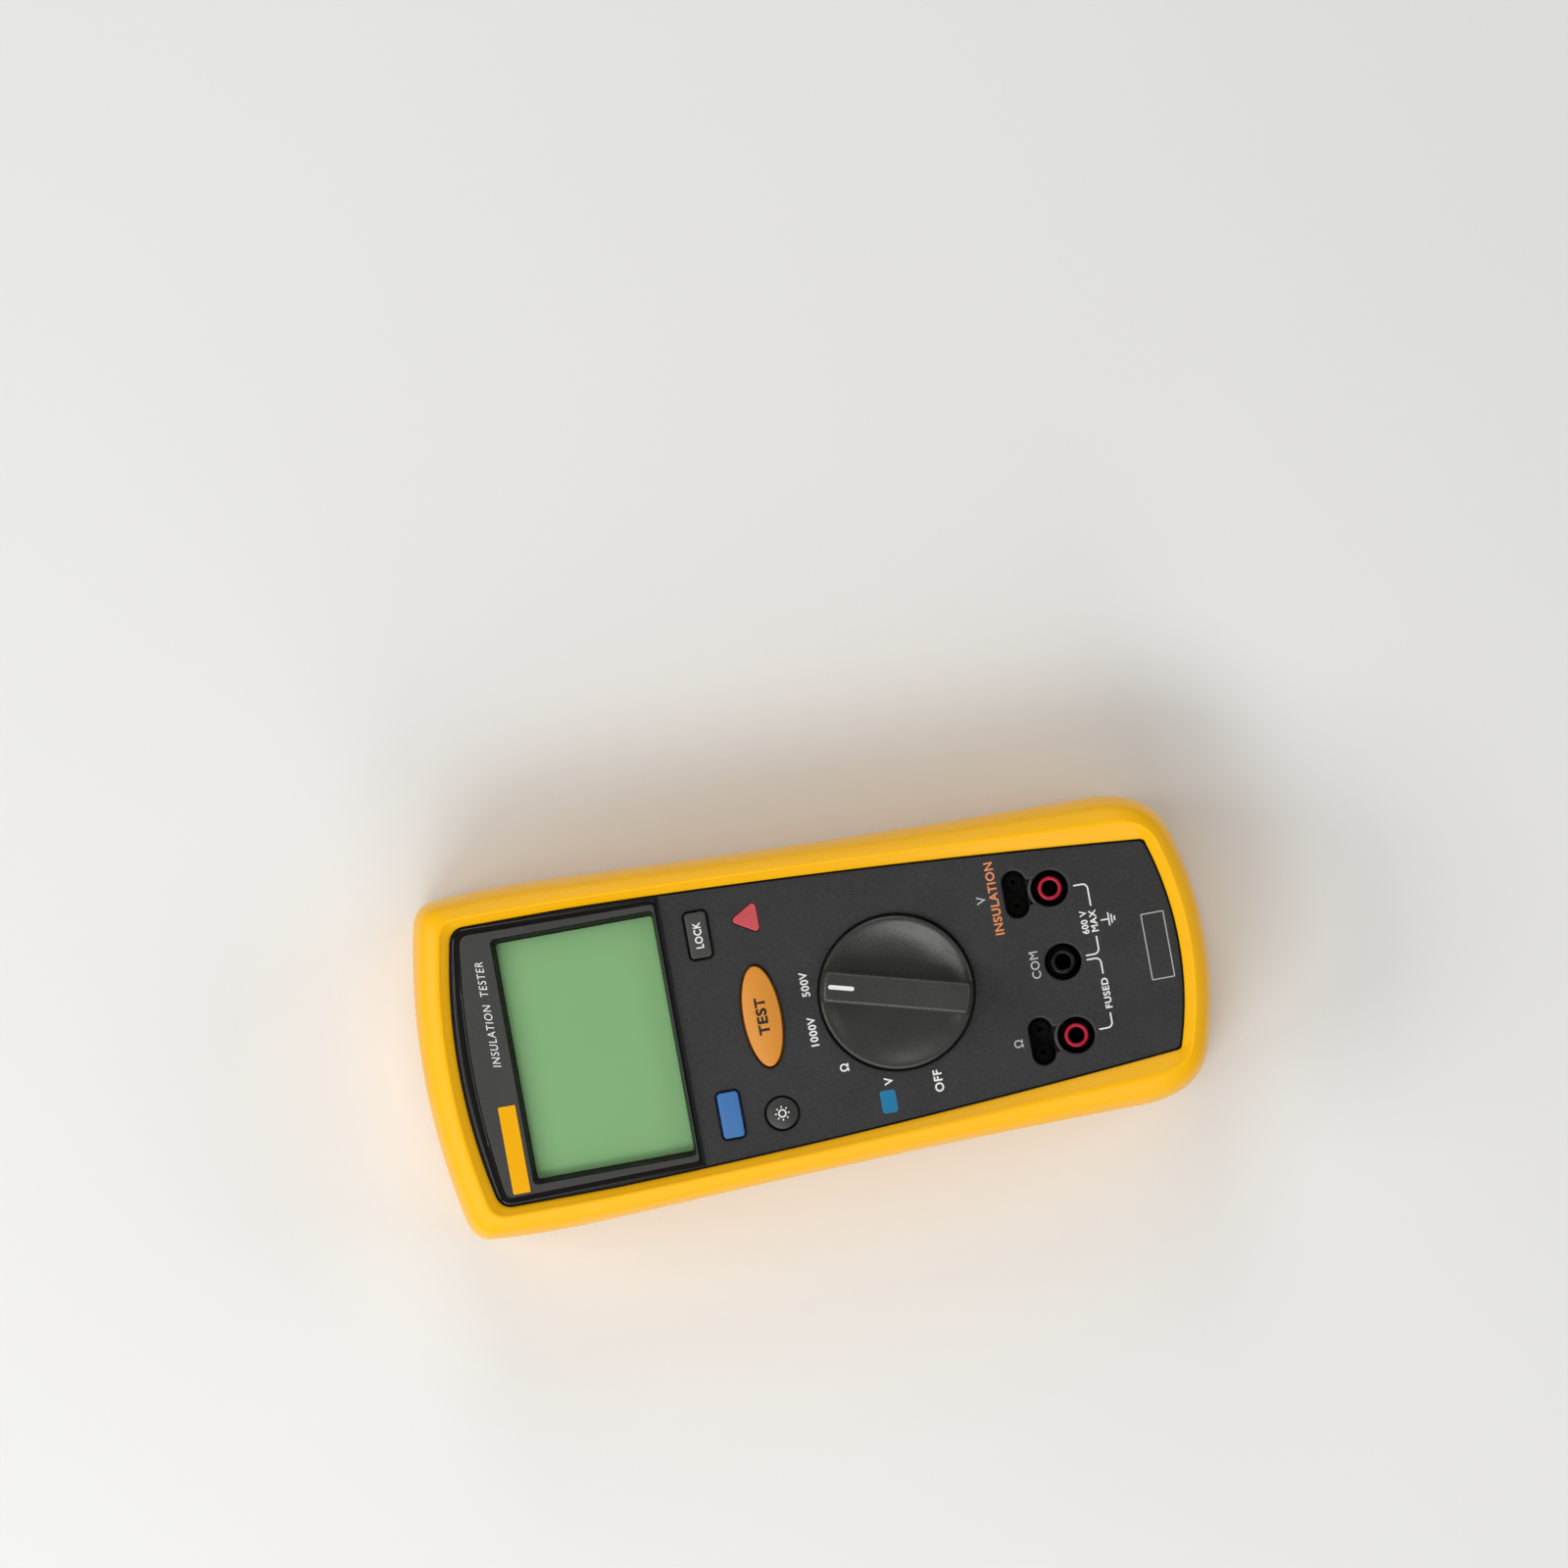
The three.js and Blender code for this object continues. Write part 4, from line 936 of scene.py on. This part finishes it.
def make_jack(name, index, material, slot):
    x = index * JACK_PITCH
    low, top = SLEEVE.bottom, SLEEVE.top
    outer_r, mouth_r, flange_r = 3.05, 2.1, 3.6
    edge, bevel = 0.35, 0.3
    crown = quarter(outer_r - edge, top - edge, edge, 0)
    bell = quarter(mouth_r + bevel, top - bevel, bevel, 90)
    profile = [(2.75, low), (flange_r, low), (flange_r, low + 1.4), (outer_r, low + 1.4), *crown, *bell,
               (mouth_r, 37.5), (2.75, 36.8)]
    piece(f"sleeve_{name}", lathe(profile, x, JACK_Y), material, slot, f"jack_sleeve_{name}", degrees=40)
    contact = Box(f"jack_contact_{name}")
    top, shank_top = contact.top, 18.3
    # the contact's bore ends in a cone
    profile = [(0, contact.bottom), (1.2, contact.bottom), (1.2, shank_top), (2.5, shank_top),
               (2.5, top - 0.3), (2.3, top), (2.1, top), (2.0, top - 0.2), (2.0, 20.5), (0, 19.2)]
    shell = lathe(profile, x, JACK_Y, 40)
    piece(f"contact_{name}", shell, SHADED_BORE_BRASS, "brass", f"jack_contact_{name}", degrees=40)


def make_remote_pins(name, index):
    """A pair of small sockets under the slot's floor, joined by a strip."""
    box = Box(f"remote_socket_{name}")
    low, high = box.bottom, box.top
    x = index * JACK_PITCH
    strip_top, neck_z, bore_z = low + 0.9, 22.4, 24
    strip = rounded_rect(box.width, box.length, 1.3, x, box.y)
    shell = Shell().wall([(low, strip), (strip_top, strip)]).fill(low, strip)
    roots = []
    for pin_x in (x - PIN_PITCH / 2, x + PIN_PITCH / 2):
        profile = [(strip_top, 0.95), (neck_z, 0.95), (neck_z, 1.35), (high - 0.15, 1.35), (high, 1.2),
                   (high, 0.9), (high - 0.15, 0.75), (bore_z, 0.75)]
        rings = pin_rings(profile, pin_x, box.y)
        shell.wall(rings).fill(*rings[-1])
        roots.append(rings[0][1])
    shell.fill(strip_top, strip, roots)
    piece(f"remote_pins_{name}", shell, SHADED_BORE_BRASS, "brass", f"remote_socket_{name}", degrees=40)


make_terminal_block()
for side_name, side_index in SIDES.items():
    make_neck_ridge(side_name, side_index)
make_jack("ohms", SIDES["ohms"], SLEEVE_RED, "red_plastic")
make_jack("common", 0, SLEEVE_BLACK, "black_plastic")
make_jack("volts", SIDES["volts"], SLEEVE_RED, "red_plastic")
for side_name, side_index in SIDES.items():
    make_remote_pins(side_name, side_index)


# ---------- lettering and marks ----------

# how far print stands above the face or a key, and how far it reaches below
INK = 0.03
KEY_INK = 0.06
INK_ROOT = 0.06
# how far a letter's sides are moved out, as a share of the font's size
THIN = 0.014
BOLD = 0.024
WHITE = (WHITE_INK, "white_plastic")
GREY = (GREY_INK, "silicone_grey")
ORANGE = (ORANGE_INK, "button_orange")
BLACK = (BLACK_INK, "black_plastic")
BLUE = (BLUE_INK, "button_blue")


def face(x, y):
    return FACE_Z


def plate_top(x, y):
    return PLATE_Z


def key_top(node):
    """The height of a key's crowned top, as a function of the place on it."""
    key = KEYS[node]
    top = Box(node).top
    half_width, half_height = key["size"][0] / 2, key["size"][1] / 2
    square = key["corner"] is not None and key["corner"] < half_height

    def height(x, y):
        u, v = abs(x - key["center"][0]) / half_width, abs(y - key["center"][1]) / half_height
        share = max(u, v) if square else math.hypot(u, v)
        return top - key["crown"] * min(1.0, share) ** 2
    return height


def drape(vertices, surface, lift):
    """Puts flat work on a surface: what is above zero ends lift above it, and what is below, just under."""
    return [(x, y, surface(x, y) + (lift if z > 0 else -INK_ROOT)) for x, y, z in vertices]


def ink(name, shapes, look, body="housing", surface=face, lift=INK):
    """A printed mark: shapes are (outline, holes) pairs."""
    shell = Shell()
    for outline, holes in shapes:
        for loop in (outline, *holes):
            shell.wall([(-1, loop), (1, loop)])
        shell.fill(-1, outline, holes).fill(1, outline, holes)
    shell.vertices = drape(shell.vertices, surface, lift)
    piece(name, shell, *look, body=body)


def thicken(work, amount):
    """Moves the walls of flat letters out by amount, mitred at the corners."""
    moves = []
    for vertex in work.verts:
        walls = [side.normal for side in vertex.link_faces if abs(side.normal.z) < 0.5]
        first, last = walls[0], walls[-1]
        moves.append((first + last) * amount / max(0.5, 1 + first.dot(last)))
    for vertex, move in zip(work.verts, moves):
        vertex.co += move


def text_mesh(name, text, slant, spacing):
    """Text in the built-in font as a mesh with a thickness round zero."""
    curve = bpy.data.curves.new(name, "FONT")
    curve.body = text
    curve.extrude = 0.1
    curve.shear = slant
    curve.space_character = spacing
    curve.resolution_u = 5
    source = add_object(name, curve)
    graph = bpy.context.evaluated_depsgraph_get()
    mesh = bpy.data.meshes.new_from_object(source.evaluated_get(graph))
    bpy.data.objects.remove(source)
    bpy.data.curves.remove(curve)
    mesh.name = name
    return mesh


def lettering(name, text, center, height, look, width=None, bold=BOLD, body="housing", surface=face, lift=INK,
              slant=0.0, spacing=1.1, cuts=1):
    """Printed text fitted to a height and, where given, a width; cuts lets it bend over a crowned key."""
    mesh = text_mesh(name, text, slant, spacing)
    work = bmesh.new()
    work.from_mesh(mesh)
    # the font's own hair-thin edges go first, because thickening would fold them over
    bmesh.ops.remove_doubles(work, verts=work.verts, dist=0.004)
    bmesh.ops.recalc_face_normals(work, faces=work.faces)
    thicken(work, bold)
    lows = [min(v.co[axis] for v in work.verts) for axis in (0, 1)]
    highs = [max(v.co[axis] for v in work.verts) for axis in (0, 1)]
    for k in range(1, cuts):
        level = lows[1] + (highs[1] - lows[1]) * k / cuts
        whole = [*work.verts, *work.edges, *work.faces]
        bmesh.ops.bisect_plane(work, geom=whole, plane_co=(0, level, 0), plane_no=(0, 1, 0))
    scale_y = height / (highs[1] - lows[1])
    scale_x = width / (highs[0] - lows[0]) if width else scale_y
    for vertex in work.verts:
        x = center[0] + (vertex.co.x - (lows[0] + highs[0]) / 2) * scale_x
        y = center[1] + (vertex.co.y - (lows[1] + highs[1]) / 2) * scale_y
        vertex.co = Vector(drape([(x, y, vertex.co.z)], surface, lift)[0]) * MM
    bmesh.ops.recalc_face_normals(work, faces=work.faces)
    work.to_mesh(mesh)
    work.free()
    smooth(mesh, 20)
    set_piece(add_object(name, mesh), *look, body=body)


def make_key_marks():
    lettering("lock_text", "LOCK", (23.35, 25.9), 2.05, WHITE, 6.7, body="lock_key",
              surface=key_top("lock_button"), lift=KEY_INK, cuts=2)
    lettering("test_text", "TEST", (0.1, 13.6), 2.8, BLACK, 9.6, bold=0.034, body="test_key",
              surface=key_top("test_button"), lift=KEY_INK, cuts=6)
    cx, cy = KEYS["backlight_button"]["center"]
    shapes = [(circle(1.07, cx, cy, 32), [circle(0.73, cx, cy, 32)])]
    for degrees in range(0, 360, 45):
        ray = turned([(0, 1.4), (0, 1.65), (0, 1.9)], -degrees)
        shapes.append((band(moved(ray, cx, cy), 0.3), []))
    ink("sun_mark", shapes, WHITE, "backlight_key", key_top("backlight_button"), KEY_INK)


def bracket(left_x, right_x, gap_low, gap_high, width=0.38):
    """A line that drops from two jacks and runs in to meet a legend between gap_low and gap_high."""
    top, low, corner = -70.5, -74.0, 1.3
    middle = (top + low) / 2
    left = [(left_x, top), (left_x, middle), *arc(left_x + corner, low + corner, corner, 180, 270, 8),
            (gap_low, low)]
    right = [(gap_high, low), *arc(right_x - corner, low + corner, corner, 270, 360, 8),
             (right_x, middle), (right_x, top)]
    return [(band(left, width), []), (band(right, width), [])]


def make_jack_legends():
    lettering("volts_text", "V", (19.1, -46.7), 2.3, GREY, bold=THIN)
    lettering("insulation_text", "INSULATION", (19.0, -50.0), 2.3, ORANGE, 18.7)
    lettering("common_text", "COM", (0.4, -57.3), 2.3, GREY, 7.0, THIN)
    lettering("ohms_text", "Ω", (-18.6, -49.6), 2.3, GREY, bold=THIN)
    lettering("fused_text", "FUSED", (-9.8, -74.0), 1.8, WHITE, 7.8)
    lettering("rating_text", "600 V", (8.9, -71.6), 1.8, WHITE, 6.0)
    lettering("limit_text", "MAX", (8.9, -74.0), 1.8, WHITE, 5.6)
    ink("jack_brackets", bracket(-18.6, -0.6, -14.9, -4.8) + bracket(0.5, 18.6, 5.0, 12.8), WHITE)

    x, top, width = 8.7, -75.8, 0.35
    earth = [(band([(x, top), (x, top - 1.0), (x, top - 1.95)], width), [])]
    for half, drop in ((1.7, 2.1), (1.15, 2.85), (0.6, 3.6)):
        earth.append((band([(x - half, top - drop), (x, top - drop), (x + half, top - drop)], width), []))
    ink("earth_mark", earth, WHITE)

    frame_line = growing_rect(17.2, 6.0, 0.3, -0.2, -89.0, 3)
    ink("blank_box", [(frame_line(), [frame_line(-0.28)])], GREY)


def make_dial_legends():
    """The legends round the knob, at its positions, about 30 degrees apart."""
    legends = [("off", "OFF", 105, 25.0, 2.3), ("ac_volts", "V", 74.5, 22.8, 2.2),
               ("resistance", "Ω", 45, 23.4, 2.3), ("thousand_volts", "1000V", 15, 23.6, 2.1),
               ("five_hundred_volts", "500V", -15, 23.6, 2.1)]
    for name, text, degrees, radius, height in legends:
        offset = turned([(0, radius)], degrees)
        lettering(f"dial_{name}", text, moved(offset, KNOB.x, KNOB.y)[0], height, WHITE)
    ink("dial_blue_box", [(rounded_rect(5.8, 4.0, 0.8, -27.1, -14.4, 5), [])], BLUE)


make_key_marks()
lettering("title_text", "INSULATION  TESTER", (13.0, 82.25), 2.05, WHITE, 27.2, 0.0, surface=plate_top,
          slant=0.22, spacing=1.15)
make_jack_legends()
make_dial_legends()


# ---------- back: rear case, door, latches, stand and screws ----------

def box_outline(left, right, low, high, corner=0.5):
    """A growing rectangle given by its four sides."""
    return growing_rect(right - left, high - low, corner, (left + right) / 2, (low + high) / 2, 6)


def prism(outline, low, high):
    """A plain solid for joining to a piece or cutting it."""
    return mesh_object("prism", slab(outline, low, high))


def pocket(outline, floor, flare=0.3, hollow=0.4):
    """A cutter for a pocket in the back, with a rounded mouth and a rounded edge round its floor."""
    mouth = roll(outline, BACK_Z, flare, 1, up=-1)
    bottom = roll(outline, floor, hollow, -1)[::-1]
    return mesh_object("pocket", Shell().stack([(BACK_Z - 2, mouth[0][1]), *mouth, *bottom]))


def rod(radius, half_length, steps=40):
    """A plain round solid along X, on the stand's hinge."""
    shell = slab(circle(radius, steps=steps), -half_length, half_length)
    return mesh_object("rod", shell.lay("x", (0, HINGE_Y, HINGE_Z)))


def make_rear_case():
    top = REAR.top
    side = case_outline(0, 0)
    cavity = body_outline(OUTER, CAVITY_INSET)
    floor_z = 5.2
    rings = [(z, case_back_outline(share, 0)) for z, share in
             bezier([(BACK_Z, 0.75), (BACK_Z, 0.5), (4.4, 0), (8, 0)], 8)]
    rings += [(top - 0.3, side), (top, body_outline(OUTER, SHELL_INSET + 0.3)), (top, cavity), (10, cavity),
              (floor_z, body_outline(BACK_OPENING, 1))]
    rear = mesh_object("rear_cover", Shell().stack(rings))
    block_z, block_top = 3.8, top - 0.15
    combine(rear, prism(box_outline(-35, 35, 11, 86.5, 2)(), block_z, block_top), "UNION")
    combine(rear, prism(box_outline(-26.7, 26.7, -88.1, 10.8, 2)(), block_z, 9.8), "UNION")
    for screw in SCREWS:
        combine(rear, prism(circle(3.6, screw.x, screw.y, 40), 3.9, block_top), "UNION")
    bay_side, bay_low, bay_high, bed_side = 30, 3.4, 20.2, 23.1
    cutters = [
        prism(box_outline(-bay_side, bay_side, 25.3, 82.5)(), bay_low, bay_high),
        prism(box_outline(-bay_side, bay_side, 15.6, 24.3)(), bay_low, bay_high),
        # the gap over the wall between the cells and the fuse
        prism(box_outline(-bay_side, bay_side, 20, 28)(), bay_low, 6.0),
        pocket(growing_rect(DOOR.width + 2 * GAP, DOOR.length + 2 * GAP, 3, DOOR.x, DOOR.y), 5.1, 0.25, 0.3),
        # the stand's bed, its hinge's trough and the finger notch at its free end
        pocket(box_outline(-bed_side, bed_side, -80, 10, 3), 6.7),
        pocket(box_outline(-bed_side, bed_side, 3.2, 10, 0.9), 8.3, 0.3, 0.7),
        pocket(box_outline(-9, 9, -86.1, -79, 3), 7.6, 0.5, 1.2),
        rod(1.8, 25.7),
    ]
    latch_low, latch_high = 4, 9.6
    for sign in (-1, 1):
        room = box_outline(*sorted((sign * 25.6, sign * 32.4)), 16, 25.4)
        cutters.append(prism(room(), latch_low, latch_high))
        cutters.append(prism(circle(3.9, sign * LATCH_X, LATCH_Y, 40), latch_low, latch_high))
    for screw in SCREWS:
        cutters.append(pocket(growing_circle(2.9, screw.x, screw.y, 48), 5.6, 0.3, 0.2))
        cutters.append(prism(circle(1.45, screw.x, screw.y, 24), 5, top + 1))
    for cutter in cutters:
        combine(rear, cutter, "DIFFERENCE")
    weighted_piece(rear, CASE_GREY, "case_plastic", "rear_case")


def make_door():
    low, high = DOOR.bottom, DOOR.top
    side = growing_rect(DOOR.width, DOOR.length, 2.8, DOOR.x, DOOR.y)
    edge = roll(side, low, 0.35, -1, up=-1)
    shell = Shell().wall([*edge, (high, side())])
    holes, inner_holes = [], []
    for sign in (-1, 1):
        hole = growing_circle(LATCH_RADIUS + GAP, sign * LATCH_X, LATCH_Y, 64)
        mouth, inner = shell.bore(hole, low, 0.2, high, up=-1)
        holes.append(mouth)
        inner_holes.append(inner)
    # finger grooves between the latches, and a shallow panel above them
    for k in range(5):
        holes.append(shell.dent(growing_rect(27, 0.8, 0.39, 0, 15.6 + 1.9 * k, 6), low, 0.25, 0.5))
    holes.append(shell.dent(growing_rect(50, 42, 3, 0, 56), low, 0.2, 0.35))
    shell.fill(low, edge[0][1], holes).fill(high, side(), inner_holes)
    piece("battery_hatch", shell, CASE_GREY, "case_plastic", "battery_door", "door")


def make_latch(name, sign):
    """A round head with a coin slot, a shank, and a tongue that holds the door."""
    x, y, low = sign * LATCH_X, LATCH_Y, DOOR.bottom
    head_top, shank_top = 4.9, 8.6
    disc = growing_circle(LATCH_RADIUS, x, y, 56)
    shank = circle(1.9, x, y, 56)
    edge = roll(disc, low, 0.3, -1, up=-1)
    shell = Shell().wall([*edge, (head_top, disc()), (head_top, shank), (shank_top, shank)])
    slot = shell.dent(growing_rect(5.2, 1.0, 0.45, x, y, 6), low, 0.2, 1.1, taper=0.1)
    shell.fill(low, edge[0][1], [slot]).fill(shank_top, shank)
    latch = mesh_object(f"{name}_turn", shell)
    tongue = box_outline(*sorted((x + sign * 0.2, x + sign * 5.4)), y - 1.6, y + 1.6, 0.8)
    combine(latch, prism(tongue(), 6.2, 8.4), "UNION")
    weighted_piece(latch, BLOCK_BLACK, "black_plastic", f"door_{name}", name)


def make_stand():
    low, high = STAND.bottom, 6.2
    side = box_outline(-22.7, 22.7, STAND.tail, HINGE_Y, 3)
    outer_edge = roll(side, low, 0.5, -1, up=-1)
    inner_edge = roll(side, high, 0.4, -1)[::-1]
    shell = Shell().wall([*outer_edge, *inner_edge])
    hollow = shell.dent(box_outline(-15, 15, -66, -8, 2), high, 0.3, 1.6, up=1, taper=0)
    # on the outside, a shallow panel, and ribs to grip at the free end
    holes = [shell.dent(box_outline(-17, 17, -62, -4, 3), low, 0.25, 0.5)]
    for k in range(4):
        holes.append(shell.dent(growing_rect(18, 0.9, 0.44, 0, -76.4 + 2.2 * k, 6), low, 0.25, 0.55))
    shell.fill(low, outer_edge[0][1], holes).fill(high, inner_edge[-1][1], [hollow])
    stand = mesh_object("tilt_bail", shell)
    combine(stand, rod(HINGE_RADIUS - 0.01, 22.6, 56), "UNION", 30)
    combine(stand, rod(1.5, STAND.right), "UNION", 30)
    weighted_piece(stand, CASE_GREY, "case_plastic", "tilt_stand", "stand")


def make_screws():
    """Pan-head case screws with a tapered cross recess, one mesh placed six times."""
    head_low, head_high, tip = 3.2, 5.3, 31.2
    head_r, edge, root, crest_r = 2.6, 0.5, 1.0, 1.15
    crown = quarter(head_r - edge, head_low + edge, edge, -90, (0, 22, 45, 67, 90))
    profile = [(0, head_low), *crown, (head_r, head_high), (crest_r, head_high)]
    # the thread: shallow ridges down the shank
    z = head_high + 8
    while z < tip - 1.6:
        profile += [(root, z), (crest_r, z + 0.35), (crest_r, z + 0.5), (root, z + 0.85)]
        z += 0.9
    profile += [(root, tip - 1), (0.4, tip), (0, tip)]
    first = mesh_object("screw", lathe(profile, steps=28))
    for degrees in (0, 90):
        mouth = turned(rounded_rect(3.4, 0.8, 0.1, steps=2), degrees)
        bottom = turned(rounded_rect(2.2, 0.45, 0.1, steps=2), degrees)
        arm = Shell().stack([(head_low - 1, mouth), (head_low, mouth), (head_low + 1.1, bottom)])
        combine(first, mesh_object("cross", arm), "DIFFERENCE")
    for index, screw in enumerate(SCREWS, 1):
        mesh = first.data.copy()
        place = Matrix.Translation(Vector((screw.x, screw.y, 0)) * MM)
        mesh.transform(place @ Matrix.Rotation(0.5 * index, 4, "Z"))
        set_piece(add_object(f"screw_{index}", mesh), STEEL, "steel", f"case_screw_{index}")
    bpy.data.objects.remove(first)


make_rear_case()
make_door()
make_latch("latch_left", -1)
make_latch("latch_right", 1)
make_stand()
make_screws()


# ---------- batteries and fuse ----------

def spiral(radii, lengths, turns, wire, steps_per_turn=20, sides=8):
    """A round wire wound into a spring round Z, its radius and height easing between two values."""
    count = int(turns * steps_per_turn)
    shell = Shell()
    for i in range(count + 1):
        t = i / count
        radius = radii[0] + (radii[1] - radii[0]) * t
        height = lengths[0] + (lengths[1] - lengths[0]) * t
        out = Vector((math.cos(TAU * turns * t), math.sin(TAU * turns * t), 0))
        for across, up in circle(wire, steps=sides):
            shell.vertices.append(tuple(out * (radius + across) + Vector((0, 0, height + up))))
    for first in range(0, count * sides, sides):
        for k in range(sides):
            j = (k + 1) % sides
            shell.faces.append((first + k, first + j, first + sides + j, first + sides + k))
    shell.faces += [tuple(range(sides)), tuple(range(count * sides, (count + 1) * sides))]
    return shell


def flipped(profile, length):
    return [(r, length - z) for r, z in reversed(profile)]


def make_cell(index):
    """An AA cell along Y: a jacket, a coloured band, a nub and a flat base. Two of the four are turned."""
    node = f"battery_cell_{index}"
    box = Box(node)
    radius, length = box.width / 2, box.length
    band_low, shoulder = 38.65, length - 1.9
    jacket = [(0, 0.35), (6.3, 0.35), (6.5, 0.1), (radius - 0.25, 0.1), (radius, 0.4), (radius, 38.6),
              (0, 38.6)]
    cap = [(0, band_low), (radius, band_low), (radius, shoulder - 0.3), (radius - 0.3, shoulder),
           (6.3, shoulder), (6.1, shoulder - 0.2), (0, shoulder - 0.2)]
    nub = [(0, shoulder - 0.25), (6.0, shoulder - 0.25), (6.0, shoulder - 0.05), (3.2, length - 1.6),
           (2.7, length - 1.5), (2.7, length - 0.25), (2.45, length), (0, length)]
    base = [(0, 0), (5.6, 0), (6.1, 0.2), (6.2, 0.45), (0, 0.45)]
    parts = {
        "jacket": (jacket, CELL_JACKET, "cell_jacket", node),
        "band": (cap, CELL_BAND, "cell_jacket"),
        "nub": (nub, STEEL, "steel"),
        "base": (base, STEEL, "steel"),
    }
    for name, (profile, *look) in parts.items():
        shape = profile if index % 2 else flipped(profile, length)
        shell = lathe(shape, steps=56).lay("y", (box.x, box.tail, box.z))
        piece(f"cell_{index}_{name}", shell, *look, degrees=40)


def make_battery_contacts(name, toward):
    """A sprung strip of contacts: a dimple where a cell's nub meets it, and a spiral where its base does."""
    strip = Box(f"battery_contacts_{name}")
    wall_y = strip.tail + 0.5 if toward == 1 else strip.head - 0.5
    whole = slab(rounded_rect(strip.width, strip.depth, 1.2), -0.25, 0.25).lay("y", (0, wall_y, strip.z))
    reach = 1.9
    for index in range(1, 5):
        faces_nub = (index % 2 == 1) == (toward == -1)
        if faces_nub:
            dimple = [(0, 0.2), (3.0, 0.2), (2.8, 0.9), (2.0, reach - 0.6), (0, reach - 0.6)]
            contact = lathe(dimple, steps=32)
        else:
            contact = spiral((5.2, 2.6), (0.5, reach), 2.6, 0.35)
        contact.vertices = [(x, y, z * toward) for x, y, z in contact.vertices]
        whole.add(contact.lay("y", (Box(f"battery_cell_{index}").x, wall_y, strip.z)))
    piece(f"contact_strip_{name}", whole, STEEL, "steel", f"battery_contacts_{name}", degrees=40)


def make_fuse():
    box = Box("fuse")
    length = box.width

    def turned_part(name, profile, steps, material, slot, node=None, start=box.left):
        shell = lathe(profile, steps=steps).lay("x", (start, box.y, box.z))
        piece(name, shell, material, slot, node, degrees=40)

    tube = [(2.55, 0.6), (2.95, 0.6), (2.95, length - 0.6), (2.55, length - 0.6)]
    turned_part("fuse_tube", tube, 40, FUSE_CLEAR, "fuse_glass", "fuse")
    cap_length = 6.3
    cap = [(0, 0), (2.9, 0), (3.15, 0.25), (3.15, 6.05), (3.05, cap_length), (2.98, cap_length), (2.98, 5.9),
           (0, 5.9)]
    turned_part("fuse_cap_left", cap, 40, STEEL, "steel")
    turned_part("fuse_cap_right", flipped(cap, cap_length), 40, STEEL, "steel", start=box.right - cap_length)
    wire = [(0, 5.5), (0.12, 5.5), (0.12, length - 5.5), (0, length - 5.5)]
    turned_part("fuse_wire", wire, 10, COPPER, "copper_wire")


def make_fuse_clip(name):
    """A bent strip: a flat foot, two sprung sides that hug the cap, and lips that open outwards."""
    clip, fuse = Box(f"fuse_clip_{name}"), Box("fuse")
    foot = clip.top - fuse.z - 0.3
    # from the lip at the open side, round the cap, to the foot, in the plane across the fuse
    path = [(3.1, clip.bottom - fuse.z + 0.15), (2.2, -3.15), *arc(0, 0, 3.45, -62, 58, 10), (1.7, 4.2),
            (1.7, foot), (0, foot)]
    path += [(-across, up) for across, up in reversed(path[:-1])]
    strip = band(path, 0.45)
    shell = slab(strip, clip.left, clip.right)
    shell.vertices = [(x, fuse.y + across, fuse.z + up) for across, up, x in shell.vertices]
    piece(f"clip_{name}", shell, BRASS, "brass", f"fuse_clip_{name}", degrees=40)


for cell_index in range(1, 5):
    make_cell(cell_index)
make_battery_contacts("lower", 1)
make_battery_contacts("upper", -1)
make_fuse()
make_fuse_clip("left")
make_fuse_clip("right")


# ---------- nodes kept from the frame ----------

KEPT = {
    LCD_GREEN: ["lcd_panel"],
    WHITE_PLASTIC: ["lcd_backlight", "lcd_frame"],
    RUBBER_GREY: ["lcd_connector_lower", "lcd_connector_upper", "keypad_mat"],
    LAMP_RED: ["warning_led"],
    KNOB_GREY: ["switch_rotor"],
    BRASS: ["rotor_contact"],
    STEEL: ["detent_spring"],
    BOARD_GREEN: ["main_board"],
    BLOCK_BLACK: ["processor_chip", "relay", "beeper"],
    FERRITE: ["transformer_core"],
    COPPER: ["transformer_winding"],
    FILM_BLUE: ["film_capacitor_1", "film_capacitor_2", "input_varistor"],
}
for kept_material, kept_nodes in KEPT.items():
    for kept_node in kept_nodes:
        kept_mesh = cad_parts[kept_node].data
        kept_mesh.materials.clear()
        kept_mesh.materials.append(kept_material)
